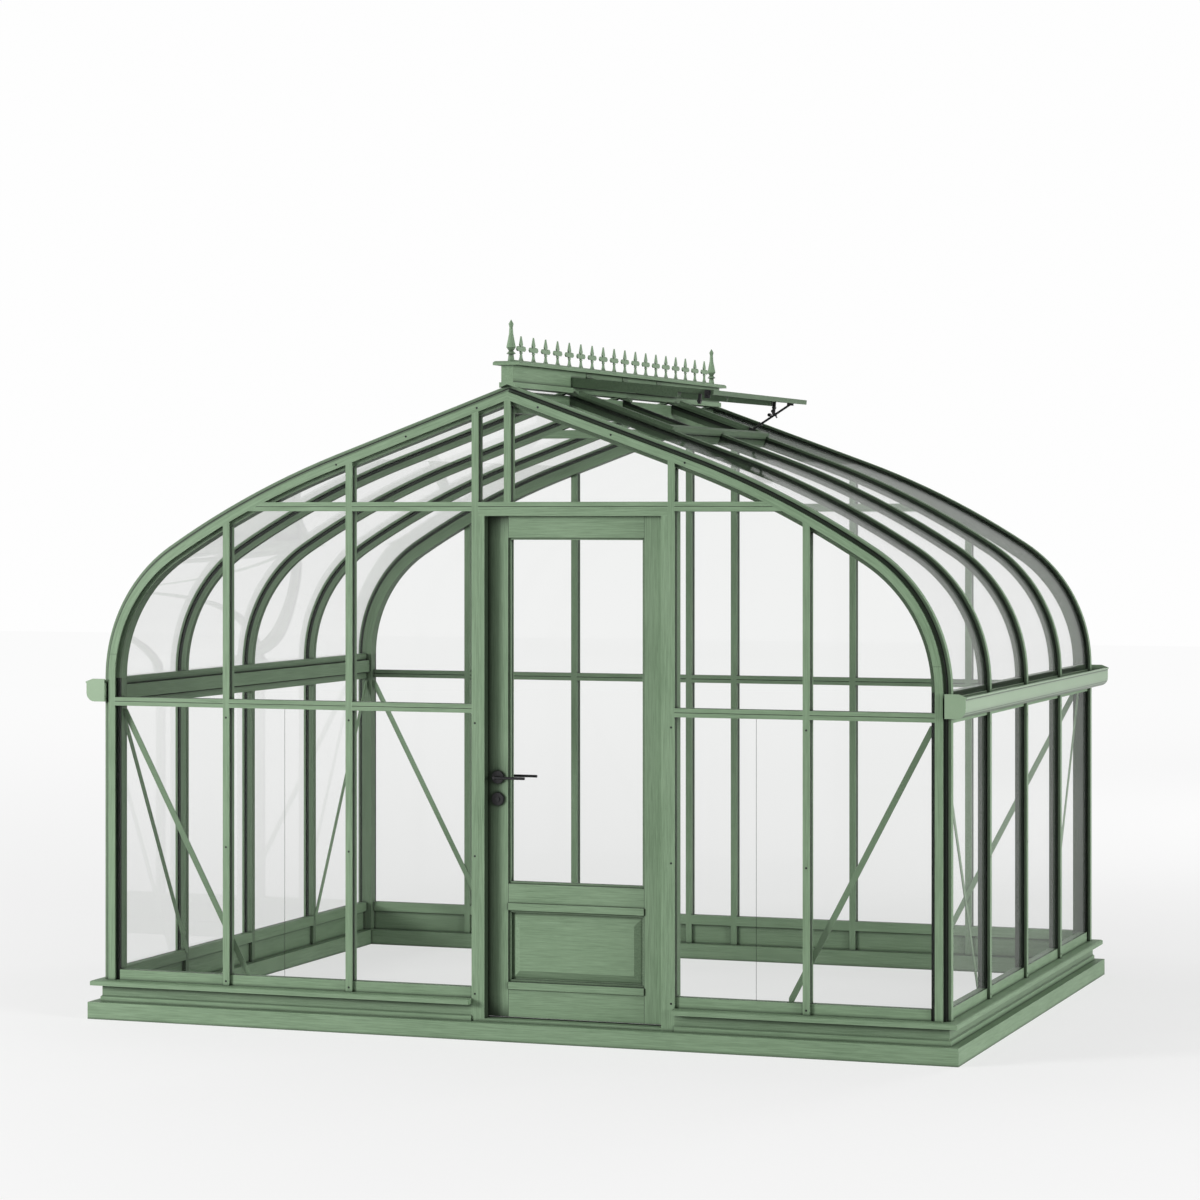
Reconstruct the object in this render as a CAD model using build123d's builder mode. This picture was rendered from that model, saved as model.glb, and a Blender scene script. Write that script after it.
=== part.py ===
from build123d import *
import os
from math import atan2, cos, degrees, radians, sin, tan

# Overall size, millimetres, Z up, front at minus Y
HALF_W = 1800.0
HALF_D = 1344.0
SPRING_Z = 1410.0

# Curve of the eaves: a tight arc, then a wide arc, then a straight slope
LOWER_R = 650.0
LOWER_TURN = 57.0
UPPER_R = 3700.0
UPPER_TURN = 13.0
PITCH = 90.0 - LOWER_TURN - UPPER_TURN

# Glazing bar section, measured inward from the outer plane
CAP_T = 12.0
NECK_T = 4.6
BACK = CAP_T + NECK_T
BODY_IN = 50.0
BAR_W = 28.0
NECK_W = 10.0
SLIP = 0.3
GLASS_T = 4.0
GLASS_IN = CAP_T + SLIP

# Corner posts and gable rafters
POST_IN = 75.0
LIP_A = 27.0
LIP_B = 58.0
WEB_B = 50.0

# Levels
PLINTH_H = 70.0
PLINTH_OUT = 45.0
PLINTH_IN = 75.0
TIER_T = 6.0
TIER_TOP = 95.0
BOARD_TOP = 138.0
SILL_TOP = 160.0
SILL_OUT = 38.0
RAIL_TOP = 203.0
MID_Z = 1296.0
MID_H = 35.0
TRANSOM_Z = 2100.0
TRANSOM_H = 37.0
PANEL_IN = 34.0

# Eaves
PLATE_Z = 1290.0
GUTTER_Z = 1312.0
PLATE_TOP = SPRING_Z
PLATE_IN = 66.0
PLATE_STEP_Z = 1323.0
PLATE_STEP_TOP = 1379.0
PLATE_GROOVE_H = 5.0
PLATE_GROOVE_T = 10.0
GUTTER_TOP = 1394.0
GUTTER_BACK = 1388.0
GUTTER_END_TOP = 1406.0
GUTTER_OUT = 70.0
GUTTER_WALL = 5.0
GUTTER_OVER = 15.0
GUTTER_SOLE = 30.0
GUTTER_LIP = 8.0
GUTTER_BEAD = 4.0
CAP_FOOT_Z = 1380.0

# Bays
BAY = 548.0
BAR_NEAR = 686.0
BAR_FAR = BAR_NEAR + BAY
DOOR_BAY = 824.0
HINGE_POST = BAR_NEAR
LOCK_POST = HINGE_POST - DOOR_BAY
BACK_PAIR = 111.0
END_PANE_LESS = 18.0
SIDE_BAY = (HALF_D - END_PANE_LESS) / 2

# Ridge, heights above the point where the two slopes meet
BOARD_HALF = 20.0
BOARD_H = 88.0
BOX_HALF = 25.0
BOX_FOOT = 34.0
BOX_FOOT_RISE = 8.5
BOX_RISE = 76.5
RIDGE_CAP_HALF = 55.0
RIDGE_CAP_T = 16.0
RIDGE_CAP_OVER = 16.0
TIE_DROP = 167.0
TIE_H = 36.0
CREST_T = 6.0
CREST_BASE = 8.0
CREST_IN = 84.0
CREST_NEAR_PITCH = 140.0
LEG_R = 30.0
LEG_T = 4.5
LEG_SINK = 1.5
STEM_HALF = 5.0
FINIAL_IN = 44.0

# Roof vent, lengths run down the slope from the ridge line
VENT_SHARE = 0.586
VENT_CURB_H = 16.0
VENT_CURB_FROM = 60.0
VENT_RISE = 52.5
VENT_FALL = 5.5
VENT_OVER = 155.0
VENT_T = 40.0
VENT_UPPER = 20.0
VENT_STILE = 46.0
VENT_BAR = 24.0
STAY_R = 5.0
STAY_FOOT_UP = 45.0
STAY_HEAD_UP = 65.0
STAY_LUG = 14.0

# Door
LEAF_IN = 36.0
LEAF_X0 = LOCK_POST + LEAF_IN
LEAF_X1 = HINGE_POST - LEAF_IN
LEAF_GAP = 5.0
HEAD_STOP_H = 19.0
HEAD_REBATE_H = 9.0
THRESHOLD_H = 12.0
THRESHOLD_TOP = PLINTH_H + THRESHOLD_H
HEAD_Z = TRANSOM_Z - HEAD_STOP_H
HEAD_REBATE = TRANSOM_Z - HEAD_REBATE_H
LEAF_Z0 = THRESHOLD_TOP + LEAF_GAP
LEAF_Z1 = HEAD_REBATE - LEAF_GAP
LEAF_D0 = 45.0
LEAF_D1 = 89.0
STILE_W = 90.0
TOP_RAIL_H = 91.0
TOP_RAIL_Z = LEAF_Z1 - TOP_RAIL_H
LOCK_RAIL_Z0 = 512.0
LOCK_RAIL_Z1 = 617.0
FOOT_RAIL_Z = 226.0
MOULD_H = 28.0
MOULD_T = 5.0
BEAD_W = 9.0
BEAD_IN = 7.0
PANEL_MARGIN = 30.0
PANEL_BEVEL = 30.0
PANEL_RISE = 12.0
STOP_IN = 40.0
STOP_W = 27.0
REBATE_W = 17.0
JAMB_IN = LEAF_D1
HINGE_OUT = 2.5
HINGE_X = LEAF_X1 + HINGE_OUT
HINGE_R = 6.0
HINGE_D = LEAF_D1 + HINGE_R + SLIP
BACKSET = 47.0
LEVER_X = LEAF_X0 + BACKSET
LEVER_Z = 1040.0
KEY_DROP = 87.0
KEY_Z = LEVER_Z - KEY_DROP
KEY_R = 9.0
KEY_T = 3.5
ROSE_R = 25.0
ROSE_T = 9.0
LEVER_REACH = 130.0
LEVER_R = 5.5
LEVER_OUT = 48.0
LEVER_GAP = 0.5
SPINDLE_R = 5.0
HINGE_H = 90.0
HINGE_LEAF_T = 2.5
HINGE_LEAF_W = 26.0
HINGE_ZS = (300.0, 1085.0, 1860.0)
PIN_R = 3.0

# Braces
BRACE_W = 24.0
BRACE_T = 4.0
BRACE_TOP_Z = 1280.0
BRACE_LOW_Z = 190.0
BRACE_PAST = 84.0

# Thin line cut along the capping of the cross rails
LINE_W = 2.5
LINE_T = 2.0

HIGH = 3000.0


def slab(x0, x1, y0, y1, z0, z1, mode=Mode.ADD):
    with Locations(((x0 + x1) / 2, (y0 + y1) / 2, (z0 + z1) / 2)):
        Box(x1 - x0, y1 - y0, z1 - z0, mode=mode)


def front_slab(x0, x1, d0, d1, z0, z1, mode=Mode.ADD):
    slab(x0, x1, d0 - HALF_D, d1 - HALF_D, z0, z1, mode)


def side_slab(y0, y1, d0, d1, z0, z1, mode=Mode.ADD):
    slab(HALF_W - d1, HALF_W - d0, y0, y1, z0, z1, mode)


def curve_nodes(r):
    low = radians(LOWER_TURN)
    high = radians(LOWER_TURN + UPPER_TURN)
    cx, cz = HALF_W - LOWER_R, SPRING_Z
    dx = cx - (UPPER_R - LOWER_R) * cos(low)
    dz = cz - (UPPER_R - LOWER_R) * sin(low)
    a, b = LOWER_R - r, UPPER_R - r
    foot = (HALF_W - r, SPRING_Z)
    join = (cx + a * cos(low), cz + a * sin(low))
    crown = (dx + b * cos(high), dz + b * sin(high))
    return foot, join, crown, (cx, cz), (dx, dz)


def roof_z(x, r=0.0):
    crown = curve_nodes(r)[2]
    return crown[1] + (crown[0] - x) * tan(radians(PITCH))


def half_curve(r, z_foot, x_top):
    foot, join, crown, c1, c2 = curve_nodes(r)
    edges = []
    if z_foot < SPRING_Z:
        edges.append(Line((foot[0], z_foot), foot))
    edges.append(CenterArc(c1, LOWER_R - r, 0, LOWER_TURN))
    edges.append(CenterArc(c2, UPPER_R - r, LOWER_TURN, UPPER_TURN))
    edges.append(Line(crown, (x_top, roof_z(x_top, r))))
    return edges


def gable_plane(y):
    return Plane(origin=(0, y, 0), x_dir=(1, 0, 0), z_dir=(0, -1, 0))


def right_band(r0, r1, y0, y1, z0, x_top):
    with BuildSketch(gable_plane(y1)) as band:
        with BuildLine():
            half_curve(r0, z0, x_top)
            half_curve(r1, z0, x_top)
            Line((HALF_W - r0, z0), (HALF_W - r1, z0))
            Line((x_top, roof_z(x_top, r0)), (x_top, roof_z(x_top, r1)))
        make_face()
    extrude(band.sketch, amount=y1 - y0)


def arch_area(r, z0):
    with BuildSketch() as area:
        with BuildLine():
            half_curve(r, z0, 0)
            mirror(about=Plane.YZ)
            Line((HALF_W - r, z0), (r - HALF_W, z0))
        make_face()
    return area.sketch


def gable_strips(spans, r, z0, d0, d1, top=HIGH, mode=Mode.ADD):
    with BuildSketch(gable_plane(d1 - HALF_D)) as strips:
        for x0, x1 in spans:
            with Locations(((x0 + x1) / 2, (z0 + top) / 2)):
                Rectangle(x1 - x0, top - z0)
        add(arch_area(r, PLINTH_H), mode=Mode.INTERSECT)
    extrude(strips.sketch, amount=d1 - d0, mode=mode)


def gable_bars(xs, z_body, z_cap):
    gable_strips([(x - BAR_W / 2, x + BAR_W / 2) for x in xs], POST_IN, z_body, BACK, BODY_IN)
    gable_strips([(x - NECK_W / 2, x + NECK_W / 2) for x in xs], WEB_B, z_cap, CAP_T, BACK)
    gable_strips([(x - BAR_W / 2, x + BAR_W / 2) for x in xs], LIP_B, z_cap, 0, CAP_T)


def gable_rails(bays, z0, height):
    z1 = z0 + height
    half = BAR_W / 2
    web = NECK_W / 2
    mid = (z0 + z1) / 2
    gable_strips([(a + half, b - half) for a, b in bays], POST_IN, z0, BACK, BODY_IN, z1)
    gable_strips([(a + web, b - web) for a, b in bays], WEB_B, mid - web, CAP_T, BACK, mid + web)
    gable_strips([(a + half, b - half) for a, b in bays], LIP_B, z0, 0, CAP_T, z1)
    gable_strips(bays, 0, mid - LINE_W / 2, 0, LINE_T, mid + LINE_W / 2, Mode.SUBTRACT)


def slope_slab(s0, s1, y0, y1, r0, r1, mode=Mode.ADD):
    angle = radians(PITCH)
    top = roof_z(0)
    with BuildSketch(gable_plane(y1)) as piece:
        with BuildLine():
            Polyline([(s * cos(angle) - r * sin(angle), top - s * sin(angle) - r * cos(angle))
                      for s, r in ((s0, r0), (s1, r0), (s1, r1), (s0, r1))], close=True)
        make_face()
    extrude(piece.sketch, amount=y1 - y0, mode=mode)


def disc(x, z, y0, y1, radius, mode=Mode.ADD):
    with BuildSketch(gable_plane(y1)) as ring:
        with Locations((x, z)):
            Circle(radius)
    extrude(ring.sketch, amount=y1 - y0, mode=mode)


def four_corners(part):
    mirrored = mirror(part, about=Plane.XZ, mode=Mode.PRIVATE)
    add([part, mirrored])
    mirror(part, about=Plane.YZ)
    mirror(mirrored, about=Plane.YZ)


def side_mitre():
    far = PLINTH_OUT + SILL_OUT
    with BuildPart(mode=Mode.PRIVATE) as wedge:
        with BuildSketch():
            with BuildLine():
                Polyline((HALF_W + far, -HALF_D - far), (HALF_W + far, HALF_D + far),
                         (HALF_W - HALF_D / 2, HALF_D / 2), (HALF_W - HALF_D / 2, -HALF_D / 2),
                         close=True)
            make_face()
        extrude(amount=BODY_IN + HIGH)
    return wedge.part


def sill_profile():
    with BuildSketch(Plane.XZ) as outline:
        with BuildLine():
            Polyline((BACK, PLINTH_H), (-TIER_T, PLINTH_H), (-TIER_T, TIER_TOP - TIER_T),
                     (0, TIER_TOP), (0, BOARD_TOP - TIER_T), (-TIER_T, BOARD_TOP),
                     (-SILL_OUT, BOARD_TOP), (-SILL_OUT, SILL_TOP - TIER_T),
                     (TIER_T - SILL_OUT, SILL_TOP - 2), (0, SILL_TOP), (BACK, SILL_TOP),
                     close=True)
        make_face()
    return outline.sketch


# Places that follow from the sizes
APEX_Z = roof_z(0)
CROWN_S = curve_nodes(0)[2][0] / cos(radians(PITCH))
BOARD_TOP_Z = roof_z(BOARD_HALF, BACK)
BOX_FOOT_TOP = APEX_Z + BOX_FOOT_RISE
BOX_TOP = APEX_Z + BOX_RISE
RIDGE_CAP_TOP = BOX_TOP + RIDGE_CAP_T
VENT_TRIM = CROWN_S * VENT_SHARE
VENT_LEN = VENT_TRIM + VENT_OVER
VENT_TOP_Z = APEX_Z + VENT_RISE
BRACE_LOW_X = BAR_FAR - BRACE_PAST

os.makedirs("parts", exist_ok=True)

# Plinth: mitred timber kerb that stands on the ground
with BuildPart() as plinth_sides:
    side_slab(-HALF_D - PLINTH_OUT, HALF_D + PLINTH_OUT, -PLINTH_OUT, PLINTH_IN, 0, PLINTH_H)
    add(side_mitre(), mode=Mode.INTERSECT)
    mirror(about=Plane.YZ)
plinth_sides.part.label = "plinth_sides"

with BuildPart() as plinth_ends:
    slab(-HALF_W - PLINTH_OUT, HALF_W + PLINTH_OUT, -HALF_D - PLINTH_OUT, PLINTH_IN - HALF_D, 0, PLINTH_H)
    slab(-HALF_W - PLINTH_OUT, HALF_W + PLINTH_OUT, HALF_D - PLINTH_IN, HALF_D + PLINTH_OUT, 0, PLINTH_H)
    add(side_mitre(), mode=Mode.SUBTRACT)
    add(mirror(side_mitre(), about=Plane.YZ, mode=Mode.PRIVATE), mode=Mode.SUBTRACT)
plinth_ends.part.label = "plinth_ends"

# Sill boards round the foot of the walls
with BuildPart() as side_sills:
    profile = mirror(sill_profile(), about=Plane.YZ, mode=Mode.PRIVATE)
    extrude(profile.moved(Location((HALF_W, HALF_D + SILL_OUT, 0))), amount=2 * (HALF_D + SILL_OUT))
    add(side_mitre(), mode=Mode.INTERSECT)
    mirror(about=Plane.YZ)
side_sills.part.label = "side_sills"

with BuildPart() as back_sill:
    turned = sill_profile().rotate(Axis.Z, -90)
    extrude(turned.moved(Location((-HALF_W - SILL_OUT, HALF_D, 0))),
            amount=2 * (HALF_W + SILL_OUT), dir=(1, 0, 0))
    add(side_mitre(), mode=Mode.SUBTRACT)
    add(mirror(side_mitre(), about=Plane.YZ, mode=Mode.PRIVATE), mode=Mode.SUBTRACT)
back_sill.part.label = "back_sill"

with BuildPart() as front_sill:
    mirror(back_sill.part, about=Plane.XZ)
    slab(LOCK_POST - BAR_W / 2, HINGE_POST + BAR_W / 2, -HALF_D - HALF_W, -HALF_D + POST_IN, 0, HIGH,
         mode=Mode.SUBTRACT)
front_sill.part.label = "front_sill"

# Corner posts, grooved on both outer faces for the glass
with BuildPart() as corner_post:
    slab(HALF_W - POST_IN, HALF_W - BACK, BACK - HALF_D, POST_IN - HALF_D, PLINTH_H, SPRING_Z)
    slab(HALF_W - WEB_B, HALF_W - LIP_A, CAP_T - HALF_D, BACK - HALF_D, SILL_TOP, SPRING_Z)
    slab(HALF_W - LIP_B, HALF_W - LIP_A, -HALF_D, CAP_T - HALF_D, SILL_TOP, SPRING_Z)
    slab(HALF_W - BACK, HALF_W - CAP_T, LIP_A - HALF_D, WEB_B - HALF_D, SILL_TOP, GUTTER_Z)
    slab(HALF_W - CAP_T, HALF_W, LIP_A - HALF_D, LIP_B - HALF_D, SILL_TOP, GUTTER_Z)

with BuildPart() as corner_posts:
    four_corners(corner_post.part)
corner_posts.part.label = "corner_posts"

# Curved gable rafters, grooved for the gable glass and the roof glass
with BuildPart() as front_right_rafter:
    right_band(BACK, POST_IN, BACK - HALF_D, POST_IN - HALF_D, SPRING_Z, 0)
    right_band(LIP_A, WEB_B, CAP_T - HALF_D, BACK - HALF_D, SPRING_Z, 0)
    right_band(LIP_A, LIP_B, -HALF_D, CAP_T - HALF_D, SPRING_Z, 0)
    right_band(CAP_T, BACK, LIP_A - HALF_D, WEB_B - HALF_D, GUTTER_BACK, 0)
    right_band(0, CAP_T, LIP_A - HALF_D, LIP_B - HALF_D, CAP_FOOT_Z, 0)
front_right_rafter.part.label = "front_right_rafter"

with BuildPart() as front_left_rafter:
    mirror(front_right_rafter.part, about=Plane.YZ)
front_left_rafter.part.label = "front_left_rafter"

with BuildPart() as back_right_rafter:
    mirror(front_right_rafter.part, about=Plane.XZ)
back_right_rafter.part.label = "back_right_rafter"

with BuildPart() as back_left_rafter:
    mirror(front_left_rafter.part, about=Plane.XZ)
back_left_rafter.part.label = "back_left_rafter"

# Roof ribs between the gables
with BuildPart() as left_roof_ribs:
    for y in (-SIDE_BAY, 0, SIDE_BAY):
        right_band(BACK, BODY_IN, y - BAR_W / 2, y + BAR_W / 2, PLATE_TOP, BOARD_HALF)
        right_band(CAP_T, BACK, y - NECK_W / 2, y + NECK_W / 2, GUTTER_BACK, 0)
        right_band(0, CAP_T, y - BAR_W / 2, y + BAR_W / 2, CAP_FOOT_Z, 0)
    whole = mirror(left_roof_ribs.part, about=Plane.YZ, mode=Mode.PRIVATE)
    add(whole, mode=Mode.REPLACE)
left_roof_ribs.part.label = "left_roof_ribs"

with BuildPart() as right_roof_ribs:
    mirror(left_roof_ribs.part, about=Plane.YZ)
    slope_slab(VENT_CURB_FROM, VENT_TRIM, -BAR_W, BAR_W, -BACK, BACK, mode=Mode.SUBTRACT)
right_roof_ribs.part.label = "right_roof_ribs"

# Upright bars of the side walls
with BuildPart() as side_wall_bars:
    for y in (-SIDE_BAY, 0, SIDE_BAY):
        side_slab(y - BAR_W / 2, y + BAR_W / 2, BACK, BODY_IN, PLINTH_H, PLATE_Z)
        side_slab(y - NECK_W / 2, y + NECK_W / 2, CAP_T, BACK, SILL_TOP, GUTTER_Z)
        side_slab(y - BAR_W / 2, y + BAR_W / 2, 0, CAP_T, SILL_TOP, GUTTER_Z)
    mirror(about=Plane.YZ)
side_wall_bars.part.label = "side_wall_bars"

# Upright bars of the front gable
with BuildPart() as front_wall_bars:
    gable_bars([-BAR_FAR, -BAR_NEAR, BAR_FAR], PLINTH_H, SILL_TOP)
front_wall_bars.part.label = "front_wall_bars"

with BuildPart() as door_posts:
    gable_bars([LOCK_POST, HINGE_POST], PLINTH_H, SILL_TOP)
    for x in (LOCK_POST, HINGE_POST):
        front_slab(x - BAR_W / 2, x + BAR_W / 2, 0, BACK, PLINTH_H, SILL_TOP + SLIP)
        front_slab(x - BAR_W / 2, x + BAR_W / 2, BODY_IN, POST_IN, PLINTH_H, TRANSOM_Z)
door_posts.part.label = "door_posts"

with BuildPart() as king_post:
    gable_bars([0], TRANSOM_Z + TRANSOM_H, TRANSOM_Z + TRANSOM_H)
king_post.part.label = "king_post"

# Upright bars of the back gable
with BuildPart() as back_bars_front:
    gable_bars([-BAR_FAR, -BAR_NEAR, -BACK_PAIR, BACK_PAIR, BAR_NEAR, BAR_FAR], PLINTH_H, SILL_TOP)

with BuildPart() as back_wall_bars:
    mirror(back_bars_front.part, about=Plane.XZ)
back_wall_bars.part.label = "back_wall_bars"

FRONT_BAYS = [(-BAR_FAR, -BAR_NEAR), (-BAR_NEAR, LOCK_POST), (HINGE_POST, BAR_FAR)]
BACK_BAYS = [(-BAR_FAR, -BAR_NEAR), (-BAR_NEAR, -BACK_PAIR), (-BACK_PAIR, BACK_PAIR),
             (BACK_PAIR, BAR_NEAR), (BAR_NEAR, BAR_FAR)]
EDGE_BAYS = [(-HALF_W, -BAR_FAR), (BAR_FAR, HALF_W)]

# Cross rails of the gables
with BuildPart() as front_rails:
    gable_rails(FRONT_BAYS + EDGE_BAYS, MID_Z, MID_H)
    gable_rails([(-HALF_W, -BAR_FAR), (-BAR_FAR, -BAR_NEAR), (-BAR_NEAR, LOCK_POST),
                 (LOCK_POST, HINGE_POST), (HINGE_POST, BAR_FAR), (BAR_FAR, HALF_W)],
                TRANSOM_Z, TRANSOM_H)
front_rails.part.label = "front_rails"

with BuildPart() as back_rails_front:
    gable_rails(BACK_BAYS + EDGE_BAYS, MID_Z, MID_H)
    gable_rails(BACK_BAYS + EDGE_BAYS, TRANSOM_Z, TRANSOM_H)

with BuildPart() as back_rails:
    mirror(back_rails_front.part, about=Plane.XZ)
back_rails.part.label = "back_rails"


def base_bay_front(a, b):
    front_slab(a, b, BACK, PANEL_IN, PLINTH_H, SILL_TOP)
    front_slab(a, b, CAP_T, BODY_IN, SILL_TOP, RAIL_TOP)


# Recessed boards and bottom rails between the bars
with BuildPart() as front_base:
    half = BAR_W / 2
    for a, b in FRONT_BAYS:
        base_bay_front(a + half, b - half)
    base_bay_front(POST_IN - HALF_W, -BAR_FAR - half)
    base_bay_front(BAR_FAR + half, HALF_W - POST_IN)
front_base.part.label = "front_base"

with BuildPart() as back_base_front:
    for a, b in BACK_BAYS:
        base_bay_front(a + BAR_W / 2, b - BAR_W / 2)
    base_bay_front(POST_IN - HALF_W, -BAR_FAR - BAR_W / 2)
    base_bay_front(BAR_FAR + BAR_W / 2, HALF_W - POST_IN)

with BuildPart() as back_base:
    mirror(back_base_front.part, about=Plane.XZ)
back_base.part.label = "back_base"

SIDE_STOPS = [POST_IN - HALF_D, -SIDE_BAY, 0, SIDE_BAY, HALF_D - POST_IN]


def side_bays():
    spans = []
    for k in range(len(SIDE_STOPS) - 1):
        a = SIDE_STOPS[k] + (BAR_W / 2 if k else 0)
        b = SIDE_STOPS[k + 1] - (BAR_W / 2 if k < len(SIDE_STOPS) - 2 else 0)
        spans.append((a, b))
    return spans


with BuildPart() as side_base:
    for a, b in side_bays():
        side_slab(a, b, BACK, PANEL_IN, PLINTH_H, SILL_TOP)
        side_slab(a, b, CAP_T, BODY_IN, SILL_TOP, RAIL_TOP)
    mirror(about=Plane.YZ)
side_base.part.label = "side_base"

SIDE_WEBS = [WEB_B - HALF_D - NECK_W / 2, -SIDE_BAY, 0, SIDE_BAY, HALF_D - WEB_B + NECK_W / 2]
SIDE_PANES = [(SIDE_WEBS[k] + NECK_W / 2, SIDE_WEBS[k + 1] - NECK_W / 2) for k in range(len(SIDE_WEBS) - 1)]

# Eaves plates and gutters
with BuildPart() as eaves_plates:
    side_slab(POST_IN - HALF_D, HALF_D - POST_IN, BACK, BODY_IN, PLATE_Z, PLATE_TOP)
    for a, b in SIDE_PANES:
        side_slab(a, b, CAP_T, BACK, PLATE_Z, GUTTER_Z)
    side_slab(POST_IN - HALF_D, HALF_D - POST_IN, BODY_IN, PLATE_IN, PLATE_STEP_Z, PLATE_STEP_TOP)
    for z in (PLATE_STEP_Z - PLATE_GROOVE_H, PLATE_STEP_TOP):
        side_slab(POST_IN - HALF_D, HALF_D - POST_IN, BODY_IN - PLATE_GROOVE_T, BODY_IN,
                  z, z + PLATE_GROOVE_H, Mode.SUBTRACT)
    mirror(about=Plane.YZ)
eaves_plates.part.label = "eaves_plates"

GUTTER_ROUND = GUTTER_OUT - GUTTER_SOLE - GUTTER_BEAD


def gutter_outline(inset, z_top):
    sole = HALF_W + GUTTER_SOLE
    low = GUTTER_Z + inset
    back = HALF_W - BACK + (NECK_T if inset else 0)
    turn_z = GUTTER_Z + GUTTER_ROUND
    face = sole + GUTTER_ROUND - inset
    with BuildSketch(gable_plane(HALF_D + GUTTER_OVER)) as outline:
        with BuildLine():
            Polyline((face, turn_z), (face, z_top), (back, z_top), (back, low), (sole, low))
            CenterArc((sole, turn_z), GUTTER_ROUND - inset, -90, 90)
        make_face()
    return outline.sketch


GUTTER_LONG = 2 * (HALF_D + GUTTER_OVER)

with BuildPart() as right_gutter:
    extrude(gutter_outline(0, GUTTER_BACK), amount=GUTTER_LONG)
    extrude(gutter_outline(GUTTER_WALL, HIGH).moved(Location((0, -GUTTER_WALL, 0))),
            amount=GUTTER_LONG - 2 * GUTTER_WALL, mode=Mode.SUBTRACT)
    slab(HALF_W + GUTTER_OUT - GUTTER_LIP - GUTTER_BEAD, HALF_W + GUTTER_OUT,
         -HALF_D - GUTTER_OVER, HALF_D + GUTTER_OVER, GUTTER_BACK, GUTTER_TOP)
    for y in (-HALF_D - GUTTER_OVER, HALF_D + GUTTER_OVER - GUTTER_WALL):
        with BuildSketch(gable_plane(y + GUTTER_WALL)) as end_plate:
            with BuildLine():
                Polyline((HALF_W - BACK, GUTTER_BACK), (HALF_W - BACK, GUTTER_END_TOP),
                         (HALF_W + GUTTER_SOLE + GUTTER_LIP, GUTTER_END_TOP),
                         (HALF_W + GUTTER_OUT, GUTTER_TOP), (HALF_W + GUTTER_OUT - GUTTER_BEAD, GUTTER_BACK),
                         close=True)
            make_face()
        extrude(end_plate.sketch, amount=GUTTER_WALL)
right_gutter.part.label = "right_gutter"

with BuildPart() as left_gutter:
    mirror(right_gutter.part, about=Plane.YZ)
left_gutter.part.label = "left_gutter"

# Ridge: board, box, cap, cresting and finials
with BuildPart() as ridge_board:
    slab(-BOARD_HALF, BOARD_HALF, POST_IN - HALF_D, HALF_D - POST_IN,
         BOARD_TOP_Z - BOARD_H, BOARD_TOP_Z)
ridge_board.part.label = "ridge_board"

with BuildPart() as ridge_box:
    with BuildSketch(gable_plane(HALF_D)):
        with BuildLine():
            Polyline((0, roof_z(0)), (BOX_FOOT, roof_z(BOX_FOOT)), (BOX_FOOT, BOX_FOOT_TOP),
                     (BOX_HALF, BOX_FOOT_TOP), (BOX_HALF, BOX_TOP),
                     (-BOX_HALF, BOX_TOP), (-BOX_HALF, BOX_FOOT_TOP),
                     (-BOX_FOOT, BOX_FOOT_TOP), (-BOX_FOOT, roof_z(BOX_FOOT)), close=True)
        make_face()
    extrude(amount=2 * HALF_D)
ridge_box.part.label = "ridge_box"

with BuildPart() as ridge_cap:
    slab(-RIDGE_CAP_HALF, RIDGE_CAP_HALF, -HALF_D - RIDGE_CAP_OVER, HALF_D + RIDGE_CAP_OVER,
         BOX_TOP, RIDGE_CAP_TOP)
    chamfer(ridge_cap.edges().group_by(Axis.Z)[-1], length=TIER_T)
ridge_cap.part.label = "ridge_cap"


CREST_LONG = 2 * (HALF_D - CREST_IN)
CREST_COUNT = round(CREST_LONG / CREST_NEAR_PITCH)
CREST_PITCH = CREST_LONG / CREST_COUNT
CREST_PLANE = Plane(origin=(-CREST_T / 2, 0, RIDGE_CAP_TOP), x_dir=(0, 1, 0), z_dir=(1, 0, 0))
FLEUR_HALF = [(STEM_HALF, CREST_BASE), (STEM_HALF, 35), (11, 36), (11, 41), (STEM_HALF, 43), (20, 46),
              (38, 45), (50, 53), (42, 64), (24, 66), (9, 59), (16, 73)]
FLEUR_TOP = (0, 106)


# One fleur: a blade between two petals on a collar, over two legs that sweep out to the base
def leg(side):
    bend = side * (STEM_HALF + LEG_R - LEG_T / 2)
    with BuildSketch(mode=Mode.PRIVATE) as swept:
        with Locations((bend, LEG_R + LEG_SINK)):
            Circle(LEG_R)
            Circle(LEG_R - LEG_T, mode=Mode.SUBTRACT)
        with Locations((bend - side * LEG_R / 2, LEG_R / 2 + LEG_SINK)):
            Rectangle(LEG_R, LEG_R, mode=Mode.INTERSECT)
    return swept.sketch


with BuildSketch() as fleur:
    with BuildLine():
        Polyline(FLEUR_HALF + [FLEUR_TOP] + [(-y, z) for y, z in reversed(FLEUR_HALF)], close=True)
    make_face()
    add([leg(-1), leg(1)])

with BuildPart() as ridge_cresting:
    with BuildSketch(CREST_PLANE):
        with Locations((0, CREST_BASE / 2)):
            Rectangle(CREST_LONG, CREST_BASE)
        with GridLocations(CREST_PITCH, 0, CREST_COUNT, 1):
            add(fleur.sketch)
    extrude(amount=CREST_T)
ridge_cresting.part.label = "ridge_cresting"

# Turned finial: spreading foot, collar, vase and a knob on a thin neck
FINIAL_HALF = [(0, 0), (14, 0), (10, 28), (19, 31), (9, 42), (19, 57), (9, 108), (7, 136), (10, 150),
               (0, 168)]

with BuildPart() as finial:
    with BuildSketch(Plane.XZ):
        with BuildLine():
            Polyline(FINIAL_HALF, close=True)
        make_face()
    revolve(axis=Axis.Z)

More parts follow.
